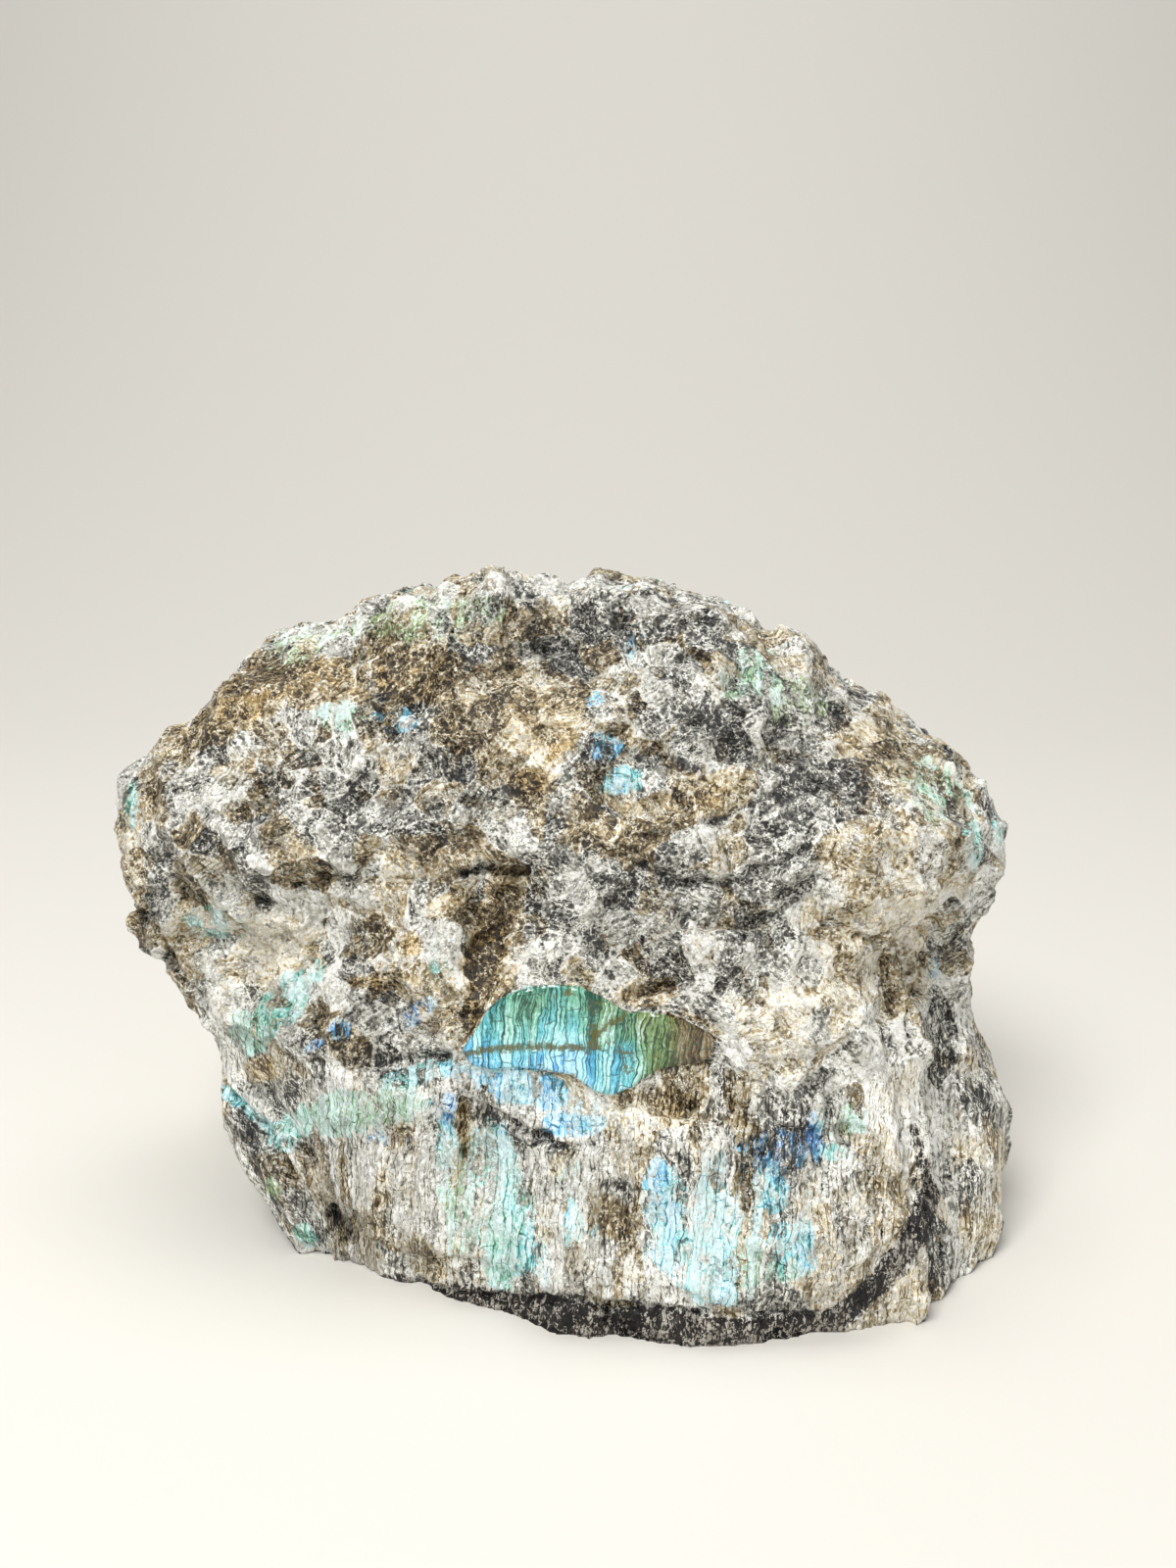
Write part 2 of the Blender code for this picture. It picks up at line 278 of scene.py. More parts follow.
@dataclass(frozen=True)
class WindowLeaf:
    """The leaf-shaped flat that is ground and polished in the front."""

    outline_px: tuple = (
        (471, 1072), (488, 1047), (499, 1028), (512, 1018), (528, 1011), (547, 1005.5),
        (567, 1004), (591, 1006.5), (611, 1015), (628, 1025), (637, 1031), (654, 1032.5),
        (676, 1035), (697, 1041), (714, 1048), (726, 1056), (729, 1066), (725, 1078),
        (711, 1085), (690, 1088), (673, 1091), (657, 1100), (644, 1110), (627, 1117),
        (611, 1116), (600, 1109), (584, 1097), (554, 1092), (526, 1089), (501, 1091),
        (481, 1087),
    )
    # How deep inside the outline the solid is sure to be flat
    sure_mm: float = 0.9
    # Cracks that are filled with olive iron stain
    fissures_px: tuple = (
        ((474, 1076), (500, 1071), (540, 1068), (580, 1069), (612, 1068)),
        ((600, 1072), (608, 1056), (622, 1045), (636, 1038)),
        ((607, 1048), (605, 1068)),
    )
    mm_per_px: float = 0.135
    # Hue of the schiller and its light, read from left to right: pixels across, and the values
    hue_px: tuple = (470, 530, 580, 620, 645, 670, 700)
    hues: tuple = (0.3, 0.4, 0.48, 0.56, 0.7, 0.82, 0.9)
    low_hue_px: tuple = (480, 560, 600, 640)
    low_hues: tuple = (0.36, 0.3, 0.26, 0.42)
    light_px: tuple = (470, 505, 535, 560, 590, 606, 625, 645, 670, 700)
    lights: tuple = (0.2, -0.2, -0.12, 0.32, 0.5, 0.0, 0.4, 0.25, -0.1, -0.4)
    # Between these pixels the schiller ends in the dull right end
    dull_end_px: tuple = (706, 676)
    # The zones of the leaf reach this far past its edge, so that none of the rock's show inside it
    hue_margin_mm: float = 0.5
    margin_mm: float = 0.3

    def depth_inside(self, camera: PhotoCamera, points_mm: np.ndarray) -> np.ndarray:
        """How deep points lie inside the outline, as the camera sees them.

        Args:
            camera: the photograph's camera.
            points_mm: three numbers each.

        Returns:
            Millimetres, more than 0 inside the leaf and less than 0 outside.
        """
        place = camera.pixels(points_mm)
        px = distance_to_line(place, self.outline_px, closed=True)
        px = np.where(inside_outline(place, self.outline_px), px, -px)
        range_mm = np.linalg.norm(points_mm - np.array(camera.place_mm), axis=1)
        return px * range_mm / camera.focal_px

    def plane(self, camera: PhotoCamera, points_mm: np.ndarray, front: np.ndarray) -> np.ndarray:
        """Fits the polished plane to the solid's own flat.

        Args:
            camera: the photograph's camera.
            points_mm: points of the solid's surface.
            front: which of them face the camera.

        Returns:
            Factors a, b and c of depth = a + b x + c z, in millimetres.
        """
        sure = front & (self.depth_inside(camera, points_mm) > self.sure_mm)
        x, y, z = points_mm[sure].T
        return np.linalg.lstsq(np.stack([np.ones_like(x), x, z], axis=1), y, rcond=None)[0]

    def finish(self, zones: dict, hue: np.ndarray, place: np.ndarray, depth_mm: np.ndarray) -> dict:
        """Puts the leaf's own colours in the place of the rock's.

        Args:
            zones: amounts of each zone of the rock.
            hue: the rock's place on the schiller's scale.
            place: pixel coordinates of the points.
            depth_mm: how deep the points lie inside the leaf.

        Returns:
            Values for each point by the attribute's name.
        """
        inside = depth_mm > -self.margin_mm
        gleam = smooth_step(place[:, 0], *self.dull_end_px)
        own = zones | {
            Zone.SCHILLER: np.where(depth_mm > 0, gleam, zones[Zone.SCHILLER]),
            Zone.TONE: np.where(inside, self.light(place), zones[Zone.TONE]),
            Zone.WARMTH: np.where(inside, self.rust(place), zones[Zone.WARMTH]),
        }
        found = {zone.value: np.clip(own[zone], -AMOUNT_LIMIT, AMOUNT_LIMIT) for zone in Zone}
        found["hue"] = np.where(depth_mm > -self.hue_margin_mm, self.hue(place), hue)
        return found

    def fissures(self, place: np.ndarray) -> np.ndarray:
        """How many millimetres points lie from the nearest fissure."""
        away = [distance_to_line(place, line) for line in self.fissures_px]
        return self.mm_per_px * np.min(away, axis=0)

    def hue(self, place: np.ndarray) -> np.ndarray:
        """Schiller colour: sky blue below, cyan at the left, green at the right.

        Args:
            place: pixel coordinates of the points.

        Returns:
            Places on the schiller's scale of colours.
        """
        along = np.interp(place[:, 0], self.hue_px, self.hues)
        along += 0.08 * smooth_step(place[:, 1], 1060, 1015)
        low = smooth_step(place[:, 1] + 0.12 * (place[:, 0] - 470), 1074, 1092)
        low = low * smooth_step(place[:, 0], 668, 640)
        return along * (1 - low) + np.interp(place[:, 0], self.low_hue_px, self.low_hues) * low

    def light(self, place: np.ndarray) -> np.ndarray:
        """How bright the schiller is: dull at the upper left, brightest across the middle.

        Args:
            place: pixel coordinates of the points.

        Returns:
            Numbers from about -1 to 1.
        """
        along = np.interp(place[:, 0], self.light_px, self.lights)
        low = smooth_step(place[:, 1], 1035, 1072) * smooth_step(place[:, 0], 620, 560)
        return along + 0.45 * low - 0.45 * smooth_step(place[:, 1], 1040, 1012)

    def rust(self, place: np.ndarray) -> np.ndarray:
        """How much rust has crept into the leaf, from 0 to 1."""
        return np.max([patch.cover(place, 0.0) * patch.amount for patch in WINDOW_RUST], axis=0)


class Zone(Enum):
    """What a patch of the stone's surface is made of, covered with, or given as painted shade or
    highlight.
    """

    TONE = "tone"
    WARMTH = "warmth"
    SCHILLER = "schiller"
    CRUST = "crust"


class Hue(Enum):
    """Places on the schiller's scale of colours, from 0 to 1."""

    BLUE = 0.05
    SKY = 0.22
    CYAN = 0.38
    TEAL = 0.55
    GREEN = 0.75
    LIME = 0.95


@dataclass(frozen=True)
class Patch:
    """An oval patch of one zone, placed where the photograph shows it.

    The turn is anticlockwise, in degrees, and half sizes are in pixels.
    """

    zone: Zone
    u: float
    v: float
    half_width: float
    half_height: float
    turn: float = 0.0
    amount: float = 1.0
    hue: Hue = Hue.TEAL

    def cover(self, place: np.ndarray, wander: np.ndarray | float) -> np.ndarray:
        """How strongly the patch covers points.

        Args:
            place: pixel coordinates of the points.
            wander: noise from about -1 to 1 that makes the edge ragged, or 0.

        Returns:
            Numbers from 0 to 1.
        """
        right, up = place[:, 0] - self.u, self.v - place[:, 1]
        c, s = math.cos(math.radians(self.turn)), math.sin(math.radians(self.turn))
        across = (right * c + up * s) / self.half_width
        along = (up * c - right * s) / self.half_height
        return smooth_step(np.hypot(across, along) + 0.3 * wander, *FADE)


@dataclass(frozen=True)
class Band:
    """A long narrow patch of one zone that follows a line of pixels."""

    zone: Zone
    line: tuple
    half_width: float
    amount: float = 1.0
    hue: Hue = Hue.TEAL

    def cover(self, place: np.ndarray, wander: np.ndarray) -> np.ndarray:
        """How strongly the band covers points, from 0 to 1; wander makes the edge ragged."""
        away = distance_to_line(place, self.line) / self.half_width
        return smooth_step(away + 0.4 * wander, *FADE)


# Ovals where the photograph shows the stone darker or lighter: the middle's pixels across and down,
# half the width and height, the turn, and how much
TONE_PATCHES = {
    # Dark, cool grains, and painted shade in pits, notches, slits, hollows and grooves
    "upper half": (540, 760, 430, 185, 0, -0.22),
    "upper middle": (610, 750, 140, 100, 0, -0.12),
    "charcoal field, upper left": (390, 795, 120, 62, 10, -0.3),
    "charcoal field, upper right": (722, 905, 110, 46, 15, -0.28),
    "upper right": (840, 730, 120, 95, 0, -0.2),
    "charcoal swoosh": (800, 815, 52, 22, 18, -0.4),
    # painted shade in the pit and the notch at the top
    "painted shade in the pit at the top": (580, 655, 50, 30, 10, -0.75),
    "painted shade in the notch at the top": (634, 640, 11, 32, -20, -0.8),
    "black grains, upper left": (400, 712, 18, 10, 0, -1.0),
    "dark grains, left": (225, 868, 70, 42, 0, -0.35),
    "dark cluster, middle": (455, 838, 42, 44, 0, -0.55),
    "charcoal under the tan": (690, 752, 62, 34, 0, -0.5),
    # painted shade in the slit under the ledge
    "black slit": (500, 888, 34, 6, 0, -1.0),
    # painted shade in the hollow over the shelf and at the foot of the crevice
    "painted shade in the hollow over the shelf": (345, 1056, 55, 20, 8, -0.55),
    "painted shade at the foot of the crevice": (405, 1076, 42, 10, 5, -0.6),
    "dark spot by the pale field": (766, 1012, 11, 17, 20, -0.8),
    "dark patch, lower middle": (606, 1232, 56, 22, -38, -0.45),
    "dark blue pocket": (796, 1176, 50, 28, 12, -1.25),
    # painted shade in the two grooves by the corner
    "painted shade in the groove left of the corner": (905, 965, 8, 78, 4, -0.7),
    "painted shade in the groove by the corner": (934, 1015, 8, 62, -6, -0.7),
    "grey shoulder of the lobe": (985, 1135, 24, 34, -20, -0.5),
    "dark flank of the lobe": (975, 1230, 14, 60, 0, -0.35),
    "grey middle of the knob": (895, 885, 36, 36, 0, -0.35),
    # painted shade under the knob
    "painted shade under the knob": (872, 935, 22, 14, 15, -0.6),
    "dark streak, left flank": (262, 1168, 10, 44, 32, -0.8),
    "second streak, left flank": (300, 1215, 10, 36, 32, -0.7),
    "left rim": (152, 955, 12, 50, 15, -0.45),
    # painted shade in the oval cavity and the pit of the green eye
    "oval cavity": (346, 1250, 9, 19, 25, -1.0),
    "green eye": (864, 1160, 9, 13, 0, -0.9),
    # Pale and crushed places, and painted highlights where the light glares
    "pale lower middle": (620, 1220, 260, 105, 0, 0.66),
    "pale right": (900, 1080, 70, 220, 0, 0.5),
    "pale knob": (905, 905, 80, 90, 0, 0.55),
    "pale lobe": (1000, 1210, 40, 110, 0, 0.85),
    "pale left": (300, 930, 110, 60, 0, 0.18),
    # painted highlight on the notch at the top
    "painted highlight on the notch at the top": (578, 603, 30, 14, 0, 0.9),
    # painted highlights on the white lumps
    "painted highlight on the white lump, lower left": (385, 1188, 22, 22, 0, 1.2),
    "painted highlight on the white lump under the window": (642, 1146, 25, 22, 0, 1.2),
    "second lump under the window": (634, 1186, 26, 14, 0, 0.9),
    # painted highlight on the white field by the window
    "painted highlight on the white field by the window": (778, 1054, 46, 64, 0, 0.95),
    "white fleck by the knob": (838, 886, 11, 8, 0, 1.2),
    "cream plate": (286, 976, 44, 38, 20, 1.15),
    # painted highlight on the edge of the plate
    "painted highlight on the edge of the plate": (222, 1005, 13, 42, 0, 0.85),
    "pale arch over the window": (562, 984, 62, 20, 0, 0.5),
    "pale wedge, lower right": (856, 1266, 17, 52, -18, 0.95),
    "pale foot, lower right": (905, 1292, 26, 22, 0, 0.45),
    "pale field over the crust": (640, 1290, 50, 30, 0, 0.35),
    "pale band under the knob": (815, 1112, 60, 16, 0, 0.4),
    # painted highlight on the pale corner ridge
    "painted highlight on the pale corner ridge": (906, 1180, 28, 115, 0, 0.75),
    "white blade on the crust": (613, 1329, 6, 21, -24, 1.2),
    "pale slabs, lower left": (385, 1235, 85, 60, 0, 0.3),
    "cream block under the window": (715, 1105, 14, 24, 0, 0.6),
    "cream rim under the window": (650, 1112, 42, 8, 22, 0.6),
    # Light and shade of the stains, and painted shade in the crevices, the hollow over the window and the
    # brown pocket
    "light on the tan patch": (552, 748, 42, 40, 0, 0.45),
    "shade of the ochre field": (245, 715, 72, 38, 28, -0.9),
    "dark brown, upper left": (322, 695, 50, 24, 0, -0.6),
    "dark brown by it": (427, 686, 38, 26, 0, -0.55),
    # painted shade in the crevices, the hollow over the window and the brown pocket
    "painted shade in the crevice": (500, 968, 20, 86, -12, -0.95),
    "painted shade in the lower crevice": (488, 1016, 11, 40, -21, -0.9),
    "painted shade in the hollow over the window": (656, 1012, 30, 12, 8, -0.7),
    "painted shade in the brown pocket": (688, 1130, 22, 20, 0, -0.55),
    "dark end of the window": (712, 1062, 24, 26, 0, -0.4),
    # Light on the schiller
    "light on the shelf": (368, 1133, 62, 23, 8, 1.05),
    "light on the blue step": (540, 1112, 74, 24, -14, 1.2),
}

# Ovals that iron has stained tan, brown or ochre, with the same numbers
WARMTH_PATCHES = {
    "brown of the dark patch": (622, 1244, 40, 18, -38, 0.4),
    "tan patch, middle": (552, 745, 42, 38, 0, 0.85),
    "ochre tail": (546, 795, 20, 16, 0, 1.0),
    "tan patch under it": (612, 852, 28, 26, 0, 0.55),
    "tan patch, right": (735, 808, 42, 20, 20, 0.85),
    "ochre field, upper left": (245, 712, 66, 36, 28, 0.9),
    "ochre crystal": (259, 722, 11, 16, 0, 1.2),
    "ochre sliver": (389, 690, 8, 18, 10, 1.2),
    "brown patch, upper left": (322, 695, 52, 26, 0, 0.8),
    "brown patch by it": (427, 686, 42, 30, 0, 0.8),
    "brown left shoulder": (200, 735, 56, 28, 30, 0.7),
    "brown crevice": (500, 968, 26, 88, -12, 0.9),
    "brown of the lower crevice": (488, 1016, 13, 42, -21, 0.8),
    "tan columns, left": (235, 800, 26, 36, 0, 0.5),
    "tan band over the ledge": (435, 868, 70, 20, 0, 0.45),
    "orange spot": (420, 966, 12, 16, 0, 1.2),
    "orange streak": (382, 1002, 26, 8, 5, 1.1),
    "ochre spot": (455, 926, 20, 12, 20, 0.9),
    "ochre under the plate": (266, 1092, 22, 13, 0, 0.9),
    "cream of the plate": (292, 972, 42, 34, 20, 0.62),
    "tan corner": (862, 995, 30, 56, 0, 0.5),
    "tan groove": (925, 960, 24, 70, 0, 0.5),
    "brown over the window": (656, 1012, 32, 14, 8, 0.7),
    "brown pocket under the window": (690, 1128, 24, 22, 0, 0.85),
    "tan foot": (935, 1325, 30, 24, 0, 0.55),
    "tan patch, lower left": (462, 1290, 28, 26, 0, 0.5),
    "tan lobe": (1005, 1230, 30, 80, 0, 0.4),
    "tan left rim": (132, 890, 18, 70, 0, 0.6),
    "tan knob": (905, 895, 84, 84, 0, 0.38),
    "tan rim, upper right": (930, 785, 90, 44, -32, 0.5),
    "brown end of the window": (708, 1062, 24, 26, 0, 0.45),
}

# Ovals where cleavage faces show schiller, with the same numbers and the hue
SCHILLER_PATCHES = {
    "blue spot, upper middle": (614, 762, 20, 16, 0, 0.62, Hue.SKY),
    "cyan spot under it": (636, 795, 24, 15, 10, 0.8, Hue.CYAN),
    "blue speck over it": (607, 712, 12, 9, 0, 0.55, Hue.SKY),
    "blue speck below it": (586, 830, 12, 10, 0, 0.45, Hue.BLUE),
    "grey-green patch, upper left": (345, 732, 26, 18, 0, 0.55, Hue.GREEN),
    "blue-green patch by it": (405, 735, 26, 14, 0, 0.5, Hue.SKY),
    "yellow-green patch": (812, 712, 34, 32, 0, 0.52, Hue.LIME),
    "dark green patch": (762, 690, 34, 28, 0, 0.44, Hue.GREEN),
    "mint rim, upper right": (955, 806, 48, 32, -35, 0.44, Hue.GREEN),
    "mint spot, right": (990, 860, 13, 26, 0, 0.65, Hue.TEAL),
    "mint edge, right": (1018, 842, 8, 34, 0, 0.6, Hue.TEAL),
    "pale green top": (440, 632, 90, 26, 5, 0.5, Hue.LIME),
    "pale green shoulder": (305, 658, 44, 20, 30, 0.45, Hue.LIME),
    "mint left rim": (132, 822, 9, 26, 0, 0.6, Hue.TEAL),
    "blue notch at the top": (648, 652, 8, 26, -15, 0.5, Hue.SKY),
    "green patch over the plate": (215, 942, 38, 16, -10, 0.6, Hue.TEAL),
    "teal wedge": (284, 1030, 56, 20, 50, 0.95, Hue.TEAL),
    "green foot of the wedge": (252, 1052, 18, 22, 0, 0.8, Hue.GREEN),
    "blue streaks, left": (348, 1052, 16, 12, 20, 0.7, Hue.BLUE),
    "blue fleck by them": (322, 1066, 14, 6, 30, 0.6, Hue.BLUE),
    "blue haze by the crevice": (424, 1035, 30, 15, 30, 0.5, Hue.BLUE),
    "teal haze over it": (450, 980, 20, 36, -12, 0.4, Hue.TEAL),
    "cyan strip": (425, 1096, 42, 11, 12, 0.95, Hue.CYAN),
    "green shelf": (368, 1133, 62, 23, 8, 1.2, Hue.GREEN),
    "teal end of the shelf": (298, 1152, 24, 17, 20, 0.85, Hue.TEAL),
    "blue under the shelf": (395, 1162, 30, 9, 0, 0.6, Hue.BLUE),
    "blue top of the column": (452, 1130, 14, 16, 0, 1.0, Hue.BLUE),
    "cyan foot of the column": (452, 1165, 13, 26, 0, 0.95, Hue.CYAN),
    "blue step under the window": (534, 1110, 68, 19, -14, 1.2, Hue.SKY),
    "lower blue step": (584, 1148, 34, 13, -6, 1.2, Hue.SKY),
    "mint streaks, lower middle": (502, 1190, 26, 50, 0, 0.9, Hue.CYAN),
    "green streaks, lower middle": (516, 1255, 28, 66, 0, 0.85, Hue.TEAL),
    "green haze beside them": (474, 1225, 30, 60, 0, 0.6, Hue.GREEN),
    "mint haze right of them": (575, 1240, 40, 60, 0, 0.42, Hue.CYAN),
    "mint haze, middle": (560, 1290, 30, 30, 0, 0.45, Hue.CYAN),
    "cyan streak, lower middle": (538, 1268, 9, 26, 0, 1.0, Hue.CYAN),
    "blue-grey fleck": (577, 1238, 12, 11, 0, 0.6, Hue.BLUE),
    "cyan field, lower right": (745, 1252, 98, 78, 0, 0.45, Hue.CYAN),
    "blue streak, lower right": (670, 1205, 13, 22, 0, 0.9, Hue.BLUE),
    "blue patch under it": (676, 1238, 18, 14, 0, 1.0, Hue.BLUE),
    "sky foot of it": (686, 1275, 18, 30, 0, 0.7, Hue.SKY),
    "cyan foot, lower right": (726, 1295, 32, 40, 0, 0.8, Hue.CYAN),
    "green edge of it": (764, 1285, 12, 32, 0, 0.85, Hue.LIME),
    "blue pocket": (792, 1178, 46, 28, 12, 0.62, Hue.BLUE),
    "blue sliver over it": (830, 1160, 9, 26, 0, 0.95, Hue.BLUE),
    "cyan column": (792, 1216, 15, 24, 0, 0.95, Hue.CYAN),
    "cyan column below": (797, 1272, 14, 26, 0, 1.0, Hue.CYAN),
    "sky column": (822, 1272, 12, 26, 0, 0.9, Hue.SKY),
    "dark green patch, right": (862, 1142, 26, 20, 0, 0.6, Hue.GREEN),
    "teal under the eye": (852, 1176, 22, 10, 0, 0.6, Hue.TEAL),
    "green eye, low": (795, 1300, 20, 14, 0, 0.6, Hue.GREEN),
    "teal crystals, left foot": (314, 1262, 14, 12, 0, 0.9, Hue.TEAL),
    "green edge, left foot": (278, 1212, 8, 12, 0, 0.8, Hue.LIME),
    "blue speck in the corner": (952, 985, 7, 14, 0, 0.6, Hue.BLUE),
}

PATCHES = [
    *(Patch(Zone.TONE, *row) for row in TONE_PATCHES.values()),
    *(Patch(Zone.WARMTH, *row) for row in WARMTH_PATCHES.values()),
    *(Patch(Zone.SCHILLER, *row) for row in SCHILLER_PATCHES.values()),
]

BANDS = {
    # painted highlight along the pale top rim
    "painted highlight on the pale top rim": Band(
        Zone.TONE, ((300, 640), (380, 606), (460, 596), (600, 592), (740, 606), (830, 660)), 13, 0.4
    ),
    "pale ledge line": Band(
        Zone.TONE, ((215, 902), (270, 890), (330, 880), (372, 890), (430, 892), (470, 878)), 6, 0.2
    ),
    "pale line over the shelf": Band(
        Zone.TONE, ((300, 1128), (340, 1108), (380, 1104), (430, 1116), (455, 1108)), 5, 0.8
    ),
    "crest over the blue step": Band(
        Zone.TONE, ((478, 1090), (520, 1092), (560, 1096), (590, 1103), (604, 1116)), 3, 0.8
    ),
    "blue line, left flank": Band(
        Zone.SCHILLER, ((226, 1112), (250, 1128), (272, 1148), (290, 1170)), 7, 0.6, Hue.CYAN
    ),
    "crust over the base": Band(
        Zone.CRUST, ((385, 1322), (470, 1336), (560, 1344), (660, 1354), (760, 1364), (840, 1360)), 21
    ),
    "crust up the right": Band(
        Zone.CRUST, ((838, 1356), (880, 1325), (912, 1290), (938, 1256), (948, 1220)), 12, 0.9
    ),
    "end of the crust": Band(Zone.CRUST, ((948, 1225), (944, 1190), (932, 1152)), 5, 0.9),
    "shade under the blue step": Band(
        Zone.TONE, ((470, 1128), (505, 1143), (540, 1161), (580, 1176)), 9, -1.0
    ),
    "brown seam by the column": Band(
        Zone.WARMTH, ((470, 1130), (474, 1160), (468, 1200), (458, 1230)), 6, 0.9
    ),
}

WINDOW_RUST = (
    Patch(Zone.WARMTH, 561, 1014, 7, 13, 0, 0.6),
    Patch(Zone.WARMTH, 582, 1010, 16, 7, 0, 0.62),
    Patch(Zone.WARMTH, 600, 1027, 15, 9, 20, 0.5),
    Patch(Zone.WARMTH, 607, 1054, 10, 10, -20, 0.54),
    Patch(Zone.WARMTH, 634, 1070, 26, 12, -20, 0.42),
    Patch(Zone.WARMTH, 655, 1085, 24, 14, 20, 0.42),
)


@dataclass(frozen=True)
class Relief:
    """A groove or crest that follows a line of pixels and is sharper than the solid has it."""

    line: tuple
    half_width: float
    rise_mm: float

    def height(self, place: np.ndarray, wander: np.ndarray) -> np.ndarray:
        """How many millimetres the surface rises at points; wander makes the sides ragged."""
        away = distance_to_line(place, self.line) / self.half_width
        return self.rise_mm * smooth_step(away + 0.5 * wander, 1.1, 0.0)


RELIEFS = {
    "crevice": Relief(((519, 900), (512, 940), (500, 985), (486, 1032), (475, 1060)), 13, -1.4),
    "black slit": Relief(((458, 890), (490, 889), (532, 889)), 7, -2.4),
    "foot of the left ledge": Relief(
        ((232, 905), (300, 893), (345, 899), (400, 900), (446, 897)), 9, -0.5
    ),
    "crest of the left ledge": Relief(
        ((215, 893), (268, 881), (330, 872), (372, 880), (430, 880)), 8, 0.3
    ),
    "notch at the top": Relief(((628, 616), (636, 640), (648, 670)), 10, -2.2),
    "pit at the top": Relief(((520, 676), (545, 660), (575, 658), (600, 676)), 17, -1.0),
    "black grains": Relief(((386, 712), (418, 714)), 11, -1.2),
    "groove in the charcoal": Relief(((655, 884), (700, 900), (760, 898), (822, 866)), 10, -1.4),
    "second groove": Relief(((700, 940), (760, 944), (812, 920), (838, 884)), 9, -1.3),
    "third groove": Relief(((640, 850), (690, 848), (752, 828), (800, 800)), 9, -1.1),
    "crest between them": Relief(((668, 918), (730, 922), (790, 905), (830, 868)), 8, 0.7),
    "hollow over the window": Relief(((636, 1024), (660, 1009), (700, 998)), 10, -1.6),
    "pocket under the window": Relief(((668, 1118), (688, 1126), (708, 1128)), 20, -2.4),
    "lump under the window": Relief(((640, 1142), (642, 1150)), 24, 1.2),
    "foot of the blue step": Relief(((470, 1124), (502, 1138), (536, 1155), (556, 1162)), 9, -2.0),
    "foot of the lower step": Relief(((552, 1166), (580, 1172), (608, 1166)), 7, -1.2),
    "oval cavity": Relief(((340, 1240), (352, 1262)), 13, -3.6),
    "green eye": Relief(((864, 1150), (866, 1164)), 9, -1.8),
    "groove by the corner": Relief(((926, 958), (938, 1010), (935, 1062)), 8, -2.2),
    "groove left of it": Relief(((906, 966), (914, 1000), (923, 1030)), 6, -1.6),
    "slit by the corner": Relief(((918, 1056), (921, 1086)), 6, -1.6),
    "vein by the lobe": Relief(((928, 1148), (938, 1180), (945, 1214)), 7, -1.2),
    "hole in the lobe": Relief(((964, 1266), (966, 1280)), 7, -2.0),
    "neck of the knob": Relief(((862, 946), (884, 958), (918, 960)), 8, -1.8),
    "groove by the left rim": Relief(((158, 946), (186, 1006), (214, 1062)), 8, -1.5),
    "flank groove": Relief(((236, 1118), (262, 1152), (294, 1198)), 7, -1.8),
    "second flank groove": Relief(((260, 1110), (290, 1148), (320, 1190)), 6, -1.2),
    "crest of the flank": Relief(((250, 1112), (276, 1148), (306, 1192)), 5, 0.6),
    "foot of the dark hollow": Relief(((322, 1084), (390, 1086), (455, 1076)), 10, -1.6),
    "seam by the column": Relief(((470, 1132), (474, 1170), (466, 1220)), 6, -1.6),
    "edge of the plate": Relief(((330, 940), (322, 972), (296, 1004), (262, 1016)), 6, -1.2),
    "lip of the crust": Relief(
        ((400, 1312), (500, 1326), (620, 1334), (740, 1346), (830, 1342)), 6, -1.2
    ),
}


@dataclass(frozen=True)
class Flank:
    """The left flank, where the cleavage columns lean with the stone's edge instead of standing."""

    lean: float = 0.65
    inner_mm: float = -26.0
    outer_mm: float = -38.0


